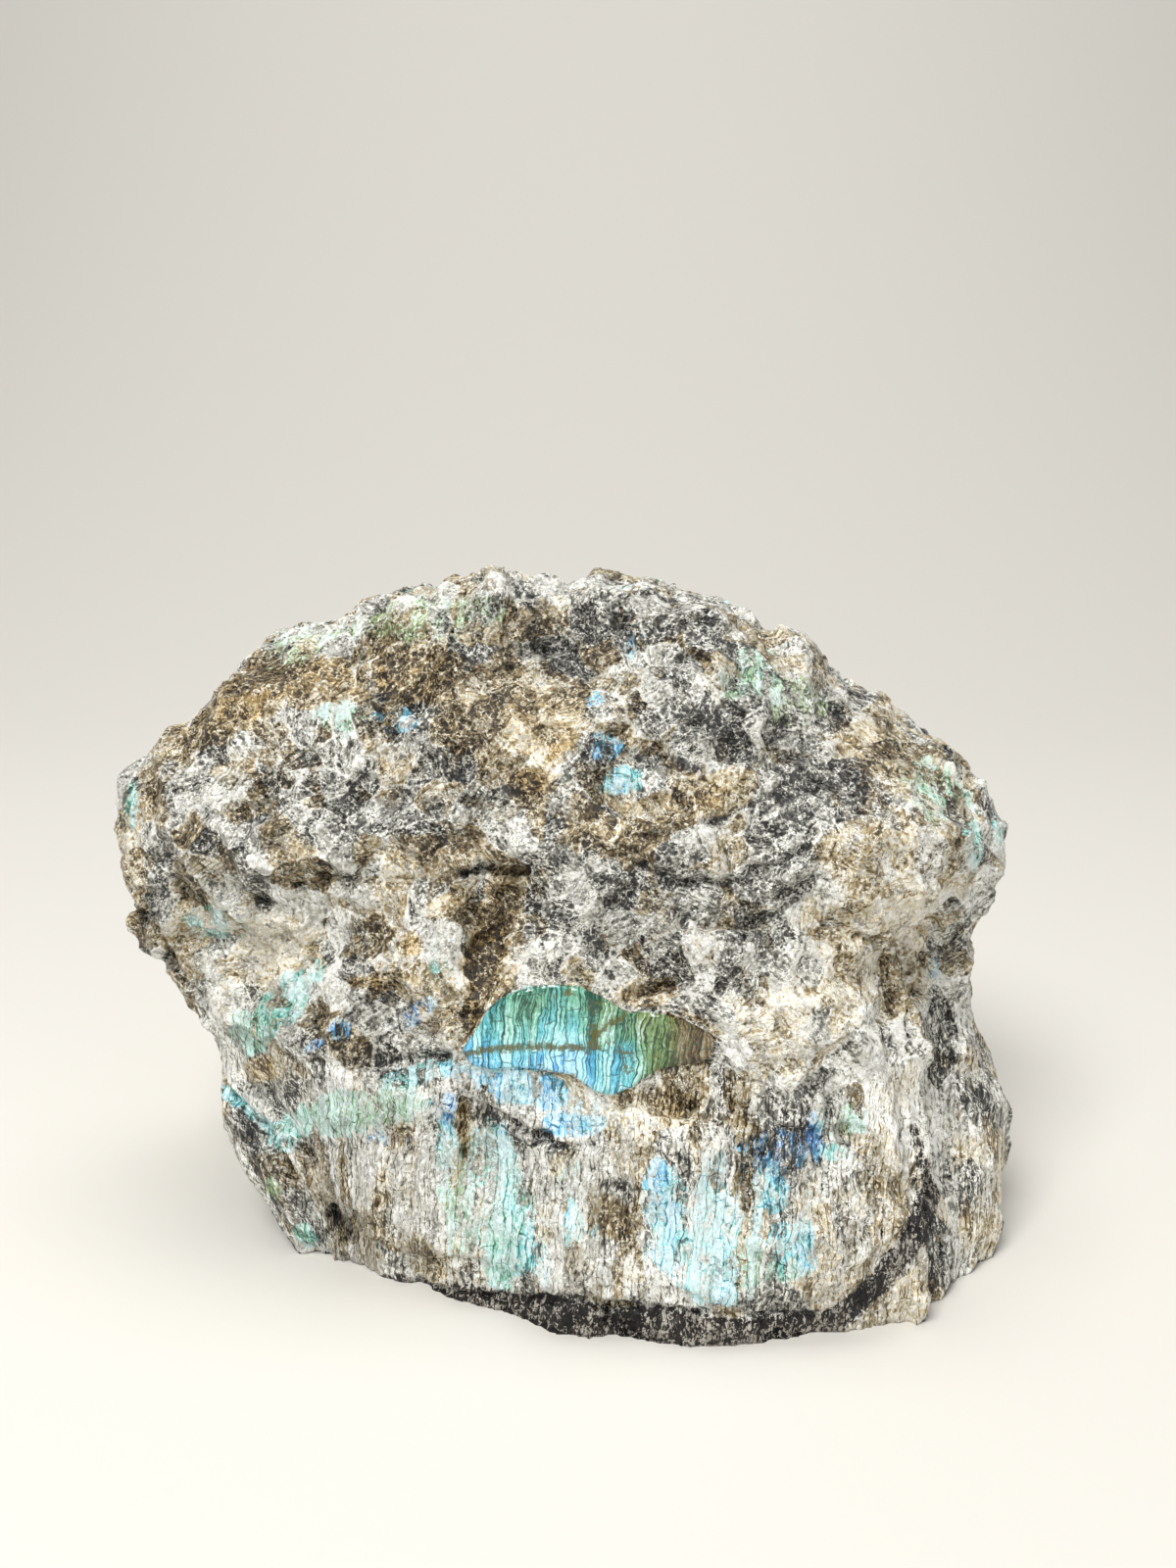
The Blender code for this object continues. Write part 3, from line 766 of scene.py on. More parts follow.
@dataclass
class RoughStone:
    """The stone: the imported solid's shape with the broken surface that the solid is too coarse for."""

    camera: PhotoCamera
    window: WindowLeaf
    noise: CrystalNoise
    voxel_mm: float = 0.5
    quick_voxel_mm: float = 0.8
    triangle_limit: int = 190_000
    relax_rounds: int = 2
    base_keep_mm: float = 0.25
    # Broken facets: size of a crystal, how far it stands, tilts and is dished
    chips_mm: tuple = (
        (8.5, 0.90, 2.40, 1.40), (4.2, 0.60, 1.70, 1.10), (2.1, 0.34, 0.95, 0.60),
        (1.1, 0.14, 0.40, 0.28),
    )
    chip_bend_mm: float = 1.3
    chip_bend_size_mm: float = 5.0
    # Cleavage columns under the window: width, height, how far one stands, tilts and is dished
    columns_mm: tuple = (
        (4.4, 20.0, 0.80, 0.90, 0.70), (2.2, 11.0, 0.40, 0.50, 0.40), (1.1, 6.0, 0.18, 0.2, 0.18),
    )
    column_top_mm: float = 36.0
    column_fade_mm: float = 12.0
    column_wander_mm: float = 4.0
    column_wander_size_mm: float = 14.0
    # How much of the chips' height the columns take away
    column_share: float = 0.6
    flank: Flank = Flank()
    window_shoulder_mm: float = 2.5
    window_sink_mm: float = 0.5
    window_keep_mm: float = 1.0
    # Stands for a place that isn't near the window
    far_mm: float = 9.0
    # How squarely a point faces the camera where it counts as the window: for its flat, its finish
    # and its fine triangles. Grooves and zones fade in over a range.
    flat_facing: float = 0.15
    finish_facing: float = 0.2
    fine_facing: float = 0.1
    groove_facing: tuple[float, float] = (0.0, 0.3)
    zone_facing: tuple[float, float] = (0.02, 0.22)
    groove_ragged_mm: float = 2.6
    zone_ragged_mm: float = 3.2
    crust_fade_mm: tuple[float, float] = (8.0, 3.0)
    crust_wander_mm: float = 2.5
    # Patches made up for the sides and the back: size of one
    unseen_tone_mm: float = 17.0
    unseen_warmth_mm: float = 21.0
    unseen_schiller_mm: tuple[float, float, float] = (13.0, 13.0, 22.0)
    unseen_hue_mm: float = 19.0

    def build(self) -> bpy.types.Object:
        """Makes the stone's mesh.

        Returns:
            The stone, riding on the solid's body and standing for it.
        """
        stone = self.fine_copy()
        self.relax(stone.data)
        self.sculpt(stone.data)
        self.thin(stone)
        self.fit_in_box(stone.data)
        stone.data.shade_smooth()
        self.write_zones(stone.data)
        stone.data.transform(Matrix.Scale(MM, 4))
        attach(stone, BODY)
        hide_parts(SOLID)
        LOG.info("stone: %d faces", len(stone.data.polygons))
        return stone

    def fine_copy(self) -> bpy.types.Object:
        """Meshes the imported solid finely, in millimetres.

        Returns:
            A new object with an even mesh.
        """
        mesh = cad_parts[SOLID].data.copy()
        mesh.name = "rough_stone"
        mesh.materials.clear()
        mesh.transform(Matrix.Scale(1 / MM, 4))
        stone = bpy.data.objects.new("rough_stone", mesh)
        bpy.context.scene.collection.objects.link(stone)
        remesh = stone.modifiers.new("fine mesh", "REMESH")
        remesh.mode = "VOXEL"
        remesh.voxel_size = self.voxel_mm
        apply_modifiers(stone)
        return stone

    def relax(self, mesh: bpy.types.Mesh) -> None:
        """Softens the solid's large triangles.

        Args:
            mesh: the stone's mesh.
        """
        points = read_vectors(mesh.vertices, "co")
        flat = points[:, 2] < self.base_keep_mm
        for _ in range(self.relax_rounds):
            moved = neighbour_mean(mesh, points)
            points = np.where(flat[:, None], points, 0.5 * points + 0.5 * moved)
        write_points(mesh, points)

    def sculpt(self, mesh: bpy.types.Mesh) -> None:
        """Breaks the surface into chips and columns, cuts the hollows and flattens the window.

        Args:
            mesh: the stone's mesh.
        """
        points = read_vectors(mesh.vertices, "co")
        normals = read_vectors(mesh.vertex_normals, "vector")
        facing = self.camera.facing(points, normals)
        front = facing > self.flat_facing
        depth = self.window.depth_inside(self.camera, points)
        depth = np.where(front, depth, -self.far_mm)
        a, b, c = self.window.plane(self.camera, points, front)
        rise = self.broken(points) + self.reliefs(points, facing)
        near = smooth_step(depth, -self.window_shoulder_mm, 0.0)
        rise = rise * (1 - near) - self.window_sink_mm * near
        inside = depth > 0
        flat = points[:, 2] < self.base_keep_mm
        rise[flat | inside] = 0.0
        points = points + normals * rise[:, None]
        points[inside, 1] = a + b * points[inside, 0] + c * points[inside, 2]
        points[:, 2] = np.maximum(points[:, 2], 0.0)
        points[flat, 2] = 0.0
        write_points(mesh, points)

    def broken(self, points: np.ndarray) -> np.ndarray:
        """How far the chips stand out above, and the cleavage columns below.

        Args:
            points: the mesh's points in millimetres.

        Returns:
            Millimetres for each point.
        """
        wander = self.noise.smooth(points / self.column_wander_size_mm)
        edge = points[:, 2] + self.column_wander_mm * wander
        columns = smooth_step(edge, self.column_top_mm, self.column_top_mm - self.column_fade_mm)
        bends = [self.noise.smooth(points / self.chip_bend_size_mm + 31 * axis) for axis in range(3)]
        bent = points + self.chip_bend_mm * np.stack(bends, axis=1)
        left = smooth_step(points[:, 0], self.flank.inner_mm, self.flank.outer_mm)
        upright = bent.copy()
        upright[:, 0] += self.flank.lean * np.minimum(bent[:, 2] - self.column_top_mm, 0) * left
        rise = np.zeros(len(points))
        for size, stand, tilt, dish in self.chips_mm:
            level = self.noise.facets(bent / size + size, stand, tilt, dish)
            rise += (level - level.mean()) * (1 - self.column_share * columns)
        for width, height, stand, tilt, dish in self.columns_mm:
            level = self.noise.facets(upright / (width, width, height) + width, stand, tilt, dish)
            rise += (level - level.mean()) * columns
        return rise

    def reliefs(self, points: np.ndarray, facing: np.ndarray) -> np.ndarray:
        """How far the named grooves and crests sink or rise.

        Args:
            points: the mesh's points in millimetres.
            facing: how squarely they face the camera.

        Returns:
            Millimetres for each point.
        """
        place = self.camera.pixels(points)
        front = smooth_step(facing, *self.groove_facing)
        wander = self.noise.layered(points / self.groove_ragged_mm, 2)
        return front * sum(relief.height(place, wander) for relief in RELIEFS.values())

    def thin(self, stone: bpy.types.Object) -> None:
        """Cuts the number of triangles to the limit, and leaves the window as it is.

        Args:
            stone: the stone.
        """
        mesh = stone.data
        triangles = sum(len(face.vertices) - 2 for face in mesh.polygons)
        if triangles <= self.triangle_limit:
            return
        points = read_vectors(mesh.vertices, "co")
        normals = read_vectors(mesh.vertex_normals, "vector")
        front = self.camera.facing(points, normals) > self.fine_facing
        depth = self.window.depth_inside(self.camera, points)
        keep = front & (depth > -self.window_keep_mm)
        group = stone.vertex_groups.new(name="outside the window")
        group.add(np.flatnonzero(~keep).tolist(), 1.0, "REPLACE")
        thin = stone.modifiers.new("fewer triangles", "DECIMATE")
        thin.ratio = self.triangle_limit / triangles
        thin.vertex_group = group.name
        apply_modifiers(stone)
        stone.vertex_groups.clear()

    def fit_in_box(self, mesh: bpy.types.Mesh) -> None:
        """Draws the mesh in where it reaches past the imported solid's box.

        Args:
            mesh: the stone's mesh.
        """
        points = read_vectors(mesh.vertices, "co")
        low, high = (np.array(corner) / MM for corner in CAD_BOX)
        middle = (low + high) / 2
        middle[2] = low[2]
        reach_low = (middle - low) / np.maximum(middle - points.min(axis=0), 1e-6)
        reach_high = (high - middle) / (points.max(axis=0) - middle)
        scale = np.minimum(np.minimum(reach_low, reach_high), 1.0)
        scale[2] = min(reach_high[2], 1.0)
        points = middle + (points - middle) * scale
        points[:, 2] = np.maximum(points[:, 2], low[2])
        write_points(mesh, points)
        LOG.info("stone drawn in by %s", np.round(scale, 4))

    def write_zones(self, mesh: bpy.types.Mesh) -> None:
        """Stores what each point is made of, its painted shade and highlights, and how far it stands out.

        Args:
            mesh: the stone's final mesh, in millimetres.
        """
        points = read_vectors(mesh.vertices, "co")
        normals = read_vectors(mesh.vertex_normals, "vector")
        broad = normals
        for _ in range(6):
            broad = neighbour_mean(mesh, broad)
        broad = broad / np.linalg.norm(broad, axis=1)[:, None]
        facing = self.camera.facing(points, broad)
        front = smooth_step(facing, *self.zone_facing)
        place = self.camera.pixels(points)
        wander = self.noise.layered(points / self.zone_ragged_mm, 2)
        zones = {zone: np.zeros(len(points)) for zone in Zone}
        hue_sum, hue_weight = np.zeros(len(points)), np.full(len(points), 1e-6)
        for patch in itertools.chain(PATCHES, BANDS.values()):
            cover = patch.cover(place, wander) * front
            if patch.zone is Zone.TONE:
                zones[patch.zone] += patch.amount * cover
            else:
                zones[patch.zone] = np.maximum(zones[patch.zone], patch.amount * cover)
            if patch.zone is Zone.SCHILLER:
                hue_sum += patch.hue.value * cover
                hue_weight += cover
        hue = 0.5 + 0.35 * self.noise.smooth(points / self.unseen_hue_mm)
        hue = np.where(hue_weight > 1e-3, hue_sum / hue_weight, hue)
        self.add_unseen(zones, points, 1 - front, wander)
        window = self.window.depth_inside(self.camera, points)
        window = np.where(facing > self.finish_facing, window, -self.far_mm)
        for name, values in self.window.finish(zones, hue, place, window).items():
            write_attribute(mesh, name, values)
        window = np.clip(window, -self.far_mm, self.far_mm)
        write_attribute(mesh, "window_mm", window)
        write_attribute(mesh, "fissure_mm", self.window.fissures(place))
        # how far each point stands out; the material lightens ridges and paints shade in grooves with it
        write_attribute(mesh, "ridge", self.ridges(mesh, points, normals))

    def add_unseen(self, zones: dict, points: np.ndarray, unseen: np.ndarray, wander: np.ndarray) -> None:
        """Makes up zones where the photograph shows nothing.

        Args:
            zones: amounts of each zone, which are added to.
            points: the mesh's points in millimetres.
            unseen: 1 where the photograph shows nothing.
            wander: noise from about -1 to 1 that makes edges ragged.
        """
        tone = self.noise.layered(points / self.unseen_tone_mm + 3, 2)
        warmth = self.noise.layered(points / self.unseen_warmth_mm + 9, 2)
        gleam = self.noise.layered(points / self.unseen_schiller_mm + 15, 2)
        base = smooth_step(points[:, 2] + self.crust_wander_mm * wander, *self.crust_fade_mm)
        zones[Zone.TONE] += 0.75 * unseen * tone
        zones[Zone.WARMTH] += unseen * smooth_step(warmth, 0.0, 0.7)
        zones[Zone.SCHILLER] += 0.8 * unseen * smooth_step(gleam, 0.25, 0.6)
        zones[Zone.CRUST] += 0.8 * unseen * base

    def ridges(self, mesh: bpy.types.Mesh, points: np.ndarray, normals: np.ndarray) -> np.ndarray:
        """How much each point stands out of its surroundings.

        Args:
            mesh: the stone's mesh.
            points: its points.
            normals: its normals.

        Returns:
            About 1 on sharp ridges and -1 in grooves.
        """
        around = points
        total = np.zeros(len(points))
        for rounds in (3, 9):
            for _ in range(rounds):
                around = neighbour_mean(mesh, around)
            stand = ((points - around) * normals).sum(axis=1)
            total += 0.35 * stand / stand.std()
        return np.clip(total, -AMOUNT_LIMIT, AMOUNT_LIMIT)


def apply_modifiers(stone: bpy.types.Object) -> None:
    """Replaces an object's mesh with its evaluated one, and drops its modifiers.

    Args:
        stone: the object.
    """
    seen = stone.evaluated_get(bpy.context.evaluated_depsgraph_get())
    shaped = bpy.data.meshes.new_from_object(seen)
    stone.modifiers.clear()
    stone.data = shaped


def read_vectors(items: bpy.types.bpy_prop_collection, name: str) -> np.ndarray:
    """Reads a vector property of many mesh elements.

    Args:
        items: such as a mesh's vertices.
        name: the property.

    Returns:
        Three numbers for each element.
    """
    values = np.zeros(len(items) * 3)
    items.foreach_get(name, values)
    return values.reshape(-1, 3)


def write_points(mesh: bpy.types.Mesh, points: np.ndarray) -> None:
    """Moves a mesh's vertices to the points."""
    mesh.vertices.foreach_set("co", points.ravel())
    mesh.update()


def write_attribute(mesh: bpy.types.Mesh, name: str, values: np.ndarray) -> None:
    """Stores one number for each vertex under a name that the material reads."""
    attribute = mesh.attributes.new(name, "FLOAT", "POINT")
    attribute.data.foreach_set("value", values.astype(np.float32))


def neighbour_mean(mesh: bpy.types.Mesh, values: np.ndarray) -> np.ndarray:
    """Averages a vector over each vertex's neighbours.

    Args:
        mesh: the mesh.
        values: three numbers for each vertex.

    Returns:
        Three numbers for each vertex.
    """
    ends = np.zeros(len(mesh.edges) * 2, np.int64)
    mesh.edges.foreach_get("vertices", ends)
    a, b = ends.reshape(-1, 2).T
    here, there = np.concatenate([a, b]), np.concatenate([b, a])
    count = np.maximum(np.bincount(here, minlength=len(values)), 1)
    sums = [np.bincount(here, weights=axis[there], minlength=len(values)) for axis in values.T]
    return np.stack(sums, axis=1) / count[:, None]


# Settings that several nodes share. A colour mix takes its colours at sockets 6 and 7 and gives the
# result at 2. A map range takes the value, where it starts and ends, and the results there.
EASED = {"interpolation_type": "SMOOTHSTEP"}
LAYER = {"data_type": "RGBA"}
TINT = {"data_type": "RGBA", "blend_type": "MULTIPLY"}
TIMES = {"operation": "MULTIPLY"}
TIMES_PLUS = {"operation": "MULTIPLY_ADD"}
TAKE_OFF = {"operation": "SUBTRACT"}
LARGER = {"operation": "MAXIMUM"}
UNIT = {"operation": "NORMALIZE"}
STRIPED = {"voronoi_dimensions": "1D"}
STRIPE_EDGE = {"voronoi_dimensions": "1D", "feature": "DISTANCE_TO_EDGE"}


def add_node(
    tree: bpy.types.NodeTree, kind: str, settings: dict | None = None, inputs: dict | None = None
) -> bpy.types.bpy_prop_collection:
    """Adds a shader node with its settings and links.

    Args:
        tree: the material's nodes.
        kind: the node's type, without the ShaderNode that Blender puts before it.
        settings: properties of the node; stops fill its colour ramp.
        inputs: a value or another node's socket for each input.

    Returns:
        The new node's outputs.
    """
    node = tree.nodes.new("ShaderNode" + kind)
    for name, value in (settings or {}).items():
        if name != "stops":
            setattr(node, name, value)
            continue
        ramp = node.color_ramp
        while len(ramp.elements) < len(value):
            ramp.elements.new(1.0)
        for element, (place, colour) in zip(ramp.elements, value):
            element.position = place
            element.color = linear_colour(colour)
    for name, value in (inputs or {}).items():
        if isinstance(value, bpy.types.NodeSocket):
            tree.links.new(value, node.inputs[name])
        else:
            node.inputs[name].default_value = value
    return node.outputs


def weigh(add: partial, maps: dict, start: float, shares: dict) -> bpy.types.NodeSocket:
    """Adds weighted values up.

    Args:
        add: adds a node.
        maps: the texture's sockets by name.
        start: a number that is added.
        shares: for each name or socket its weight, and its middle, which is taken off first.

    Returns:
        A value socket.
    """
    total = start - sum(weight * middle for weight, middle in shares.values())
    for source, (weight, _) in shares.items():
        total = add("Math", TIMES_PLUS, {0: maps.get(source, source), 1: weight, 2: total})[0]
    return total


@dataclass(frozen=True)
class LabradoriteFinish:
    """Labradorite, broken by hammer and ground flat in one place.

    Broken feldspar is a mosaic of crystals with crushed white borders, under a felt of tiny bright
    cleavage edges, so it sparkles and has no single colour; its pale flecks are partly painted glints
    of those edges. Where a cleavage face meets the light it shows schiller, and where it is polished
    it is smooth, deep and crossed by fine cracks.
    """

    cool: tuple = (
        (0.00, "#171717"), (0.20, "#4A4944"), (0.40, "#8B8A82"), (0.56, "#BCBAAE"), (0.72, "#E5E3D8"),
        (0.90, "#FFFFFA"),
    )
    warm: tuple = (
        (0.00, "#28211A"), (0.20, "#62543F"), (0.40, "#998762"), (0.56, "#C3B18B"), (0.72, "#E6DCBF"),
        (0.90, "#FFFBF0"),
    )
    schiller: tuple = (
        (0.00, "#5A94DA"), (0.22, "#84D0F4"), (0.38, "#8CDEE2"), (0.55, "#82C8B4"),
        (0.75, "#98C69C"), (0.95, "#B2C088"),
    )
    deep_schiller: tuple = (
        (0.00, "#3F83D2"), (0.22, "#52A9E6"), (0.38, "#66C6DA"), (0.55, "#74BCA6"),
        (0.75, "#7BA270"), (0.95, "#858C4C"),
    )
    # The dark crust; its palest stops are partly painted glints, partly white blades
    crust: tuple = (
        (0.00, "#050505"), (0.28, "#14100E"), (0.42, "#3A2E26"), (0.54, "#75685A"), (0.68, "#C2BDB2"),
        (0.85, "#F4F2EC"),
    )
    ochre: str = "#FBE8BE"
    schiller_shade: str = "#4E5B57"
    # painted highlight colour of the schiller
    schiller_glint: str = "#E9FBFB"
    window_shade: str = "#4A5C50"
    # painted highlight colour of the polished window
    window_glint: str = "#D4F8FA"
    window_dull: str = "#A39D92"
    crack_colour: str = "#2B4A42"
    seam_colour: str = "#56521C"
    rust_colour: str = "#5E561C"
    # Feldspar's index. The broken faces are a little less glossy than a clean crystal.
    ior: float = 1.56
    gloss: float = 0.4
    window_roughness: float = 0.08
    # Sizes of the real grain. The felt's edges are 0.1 mm wide in the hand, too fine for the
    # picture, so its flecks are drawn 0.4 mm wide.
    fleck_mm: float = 0.4
    felt_mm: float = 0.75
    felt_depth_mm: float = 0.4
    crystal_mm: float = 5.0
    splinter_mm: float = 1.9
    striae_mm: float = 0.5
    field_mm: float = 11.0
    # Bends of the crystals: how far, and how long one is
    bend_mm: float = 1.9
    swirl_mm: float = 3.3333
    # Strips between the cracks of a cleavage face, and the finer streaks and hair cracks on them
    strip_mm: float = 1.3
    strip_break_mm: float = 6.5
    streak_mm: float = 0.38462
    hair_mm: float = 0.8
    sway_mm: float = 4.5455
    fade_mm: float = 2.8571
    # The polish begins over this width, so the window's edge is sharp
    window_edge_mm: float = 0.08
    # Low down the crystals are drawn out upright: their scale up the stone, against that across
    column_top_mm: float = 36.0
    column_wander_mm: float = 9.0
    low_wander_mm: float = 24.0
    wander_size_mm: float = 20.0
    draw_out: float = 0.3
    fleck_draw_out: float = 0.62
    flank: Flank = Flank()
    facet_lean: tuple = (("crystal", 0.6), ("splinter", 0.6), ("fleck", 0.7))

    def build(self) -> bpy.types.Material:
        """Makes the material.

        Returns:
            The material.
        """
        material = bpy.data.materials.new("labradorite_broken_and_polished")
        material.use_nodes = True
        tree = material.node_tree
        tree.nodes.clear()
        add = partial(add_node, tree)
        stored = [zone.value for zone in Zone] + ["hue", "ridge", "window_mm", "fissure_mm"]
        maps = {name: add("Attribute", {"attribute_name": name})["Fac"] for name in stored}
        maps |= self.place(add)
        maps |= self.grain(add, maps)
        maps |= self.strips(add, maps)
        maps["lightness"] = self.lightness(add, maps)
        edge = self.window_edge_mm
        polished = add("MapRange", EASED, {0: maps["window_mm"], 1: -edge, 2: edge})[0]
        broken, gem = self.broken_colour(add, maps), self.window_colour(add, maps)
        colour = add("Mix", LAYER, {0: polished, 6: broken, 7: gem})[2]
        rough = add("MapRange", EASED, {0: maps["crystal hue"], 3: 0.2, 4: 0.55})[0]
        roughness = add("Mix", {}, {0: polished, 2: rough, 3: self.window_roughness})[0]
        relief = weigh(add, maps, 0.0, {
            "felt": (1.0, 0.0), "fleck": (0.35, 0.5), "bristle": (0.3, 0.5), "splinter": (0.5, 0.5),
            "crystal": (0.5, 0.5), "striae": (0.7, 0.5),
        })
        relief = add("Mix", {}, {0: polished, 2: relief, 3: 0.5})[0]
        bump = add("Bump", {}, {"Distance": self.felt_depth_mm * MM, "Height": relief})[0]
        shader = add("BsdfPrincipled", {}, {
            "Base Color": colour, "Roughness": roughness, "IOR": self.ior,
            "Normal": self.facets(add, maps, bump, polished), "Specular IOR Level": self.gloss,
        })[0]
        add("OutputMaterial", {}, {"Surface": shader})
        return material

    def facets(
        self, add: partial, maps: dict, normal: bpy.types.NodeSocket, polished: bpy.types.NodeSocket
    ) -> bpy.types.NodeSocket:
        """Leans each crystal, splinter and fleck its own way, so that some catch the light.

        Args:
            add: adds a node.
            maps: the texture's sockets by name.
            normal: the surface's direction.
            polished: 1 in the polished window, which stays flat.

        Returns:
            A direction socket.
        """
        rough = add("MapRange", EASED, {0: polished, 3: 1.0, 4: 0.0})[0]
        for name, lean in self.facet_lean:
            turned = add("VectorMath", TAKE_OFF, {0: maps[name + " colour"], 1: (0.5, 0.5, 0.5)})[0]
            scale = add("Math", TIMES, {0: rough, 1: lean})[0]
            turned = add("VectorMath", {"operation": "SCALE"}, {0: turned, "Scale": scale})[0]
            normal = add("VectorMath", {"operation": "ADD"}, {0: normal, 1: turned})[0]
        return add("VectorMath", UNIT, {0: normal})[0]

    def place(self, add: partial) -> dict:
        """Places on the stone in millimetres: plain, bent, and drawn out into columns low down.

        Args:
            add: adds a node.

        Returns:
            Sockets by name.
        """
        source = add("TexCoord")["Object"]
        plain = add("Mapping", {}, {"Vector": source, "Scale": (1 / MM,) * 3})[0]
        swirl = add("TexNoise", {}, {
            "Vector": plain, "Scale": 1 / self.swirl_mm, "Detail": 3.0, "Roughness": 0.6,
        })["Color"]
        bent = add("VectorMath", TIMES_PLUS, {0: swirl, 1: (self.bend_mm,) * 3, 2: plain})[0]
        edge = add("TexNoise", {}, {
            "Vector": plain, "Scale": 1 / self.wander_size_mm, "Detail": 1.0,
        })["Fac"]
        up = add("SeparateXYZ", {}, {0: plain})["Z"]
        up = weigh(add, {}, 0.0, {up: (1.0, 0.0), edge: (self.low_wander_mm, 0.5)})
        top, lean = self.column_top_mm, self.flank.lean
        low = add("MapRange", EASED, {0: up, 1: top - 3, 2: top + 3, 3: 1.0, 4: 0.0})[0]
        found = {"plain": plain, "bent": bent, "low": low}
        for name, source, scale in (("fine", plain, self.fleck_draw_out), ("drawn", bent, self.draw_out)):
            x, y, z = add("SeparateXYZ", {}, {0: source})
            above = weigh(add, {}, -top, {z: (1.0, 0.0), edge: (self.column_wander_mm, 0.5)})
            above = add("Math", LARGER, {0: above, 1: 0.0})[0]
            height = weigh(add, {}, 0.0, {z: (scale, 0.0), above: (1 - scale, 0.0)})
            below = weigh(add, {}, -lean * top, {z: (lean, 0.0), above: (-lean, 0.0)})
            left = add("MapRange", EASED, {
                0: x, 1: self.flank.outer_mm, 2: self.flank.inner_mm, 3: 1.0, 4: 0.0,
            })[0]
            across = add("Math", TIMES_PLUS, {0: below, 1: left, 2: x})[0]
            found[name] = add("CombineXYZ", {}, {"X": across, "Y": y, "Z": height})[0]
        return found

    def grain(self, add: partial, maps: dict) -> dict:
        """The stone's texture at each of its real sizes.

        Args:
            add: adds a node.
            maps: sockets of places on the stone.

        Returns:
            Sockets by name, each about 0 to 1.
        """
        fine, drawn = maps["fine"], maps["drawn"]
        felt = add("TexNoise", {}, {
            "Vector": fine, "Scale": 1 / self.felt_mm, "Detail": 3.0, "Roughness": 0.88,
        })["Fac"]
        thread = add("TexNoise", {}, {
            "Vector": fine, "Scale": 1 / self.splinter_mm, "Detail": 4.0, "Roughness": 0.65,
        })["Fac"]
        away = add("Math", TAKE_OFF, {0: thread, 1: 0.5})[0]
        away = add("Math", {"operation": "ABSOLUTE"}, {0: away})[0]
        bristle = add("MapRange", EASED, {0: away, 1: 0.006, 2: 0.03, 3: 1.0, 4: 0.0})[0]
        found = {"felt": felt, "bristle": bristle}
        for name, place, size in (
            ("crystal", drawn, self.crystal_mm), ("splinter", drawn, self.splinter_mm),
            ("fleck", fine, self.fleck_mm),
        ):
            cell = add("TexVoronoi", {}, {"Vector": place, "Scale": 1 / size})["Color"]
            level, stain, hue = add("SeparateColor", {}, {0: cell})
            found |= {name: level, name + " colour": cell, name + " stain": stain, name + " hue": hue}
        lean = add("VectorMath", TAKE_OFF, {0: found["crystal colour"], 1: (0.5, 0.5, 0.5)})[0]
        lean = add("VectorMath", UNIT, {0: lean})[0]
        across = add("VectorMath", {"operation": "DOT_PRODUCT"}, {0: drawn, 1: lean})["Value"]
        found["striae"] = add("TexNoise", {"noise_dimensions": "1D"}, {
            "W": across, "Scale": 1 / self.striae_mm, "Detail": 2.0, "Roughness": 0.7,
        })["Fac"]
        border = add("TexVoronoi", {"feature": "DISTANCE_TO_EDGE"}, {
            "Vector": drawn, "Scale": 1 / self.crystal_mm,
        })["Distance"]
        fields = add("TexNoise", {}, {
            "Vector": maps["bent"], "Scale": 1 / self.field_mm, "Detail": 2.0,
        })["Color"]
        found["field"], found["field stain"], torn = add("SeparateColor", {}, {0: fields})
        border = add("MapRange", EASED, {0: border, 1: 0.02, 2: 0.065, 3: 1.0, 4: 0.0})[0]
        torn = add("MapRange", EASED, {0: torn, 1: 0.47, 2: 0.57})[0]
        found["crushed"] = add("Math", TIMES, {0: border, 1: torn})[0]
        found["white"] = add("Math", {"operation": "POWER"}, {0: found["fleck"], 1: 2.2})[0]
        return found

    def strips(self, add: partial, maps: dict) -> dict:
        """Upright strips between the cracks of a cleavage face, each broken across here and there.

        Args:
            add: adds a node.
            maps: sockets of places on the stone.

        Returns:
            Sockets by name: cracks, and the shades of the strips.
        """
        plain = maps["plain"]
        sway = add("TexNoise", {}, {
            "Vector": plain, "Scale": 1 / self.sway_mm, "Detail": 3.0, "Roughness": 0.55,
        })["Fac"]
        fade = add("TexNoise", {}, {
            "Vector": plain, "Scale": 1 / self.fade_mm, "Detail": 2.0,
        })["Fac"]
        x, _, z = add("SeparateXYZ", {}, {0: plain})
        across = weigh(add, {}, 0.0, {x: (1.0, 0.0), sway: (2.6, 0.5), z: (-0.06, 0.0)})
        strip = {"W": across, "Scale": 1 / self.strip_mm}
        shade, _, shift = add("SeparateColor", {}, {0: add("TexVoronoi", STRIPED, strip)["Color"]})
        edge = add("TexVoronoi", STRIPE_EDGE, strip)["Distance"]
        height = weigh(add, {}, 0.0, {z: (1.0, 0.0), shift: (60.0, 0.0), sway: (3.0, 0.5)})
        block = {"W": height, "Scale": 1 / self.strip_break_mm}
        piece = add("SeparateColor", {}, {0: add("TexVoronoi", STRIPED, block)["Color"]})["Red"]
        step = add("TexVoronoi", STRIPE_EDGE, block)["Distance"]
        slow = add("Math", TIMES, {0: z, 1: 0.1})[0]
        streak = add("TexNoise", {}, {
            "Vector": add("CombineXYZ", {}, {"X": across, "Z": slow})[0],
            "Scale": 1 / self.streak_mm, "Detail": 3.0, "Roughness": 0.75,
        })["Fac"]
        edge = add("MapRange", EASED, {0: edge, 1: 0.02, 2: 0.10, 3: 1.0, 4: 0.0})[0]
        step = add("MapRange", EASED, {0: step, 1: 0.006, 2: 0.025, 3: 0.8, 4: 0.0})[0]
        full = add("Math", LARGER, {0: edge, 1: step})[0]
        weight = add("MapRange", EASED, {0: fade, 1: 0.35, 2: 0.6, 3: 0.35})[0]
        crack = add("Math", TIMES, {0: full, 1: weight})[0]
        hair = add("TexVoronoi", STRIPE_EDGE, {"W": across, "Scale": 1 / self.hair_mm})["Distance"]
        hair = add("MapRange", EASED, {0: hair, 1: 0.03, 2: 0.14, 3: 1.0, 4: 0.0})[0]
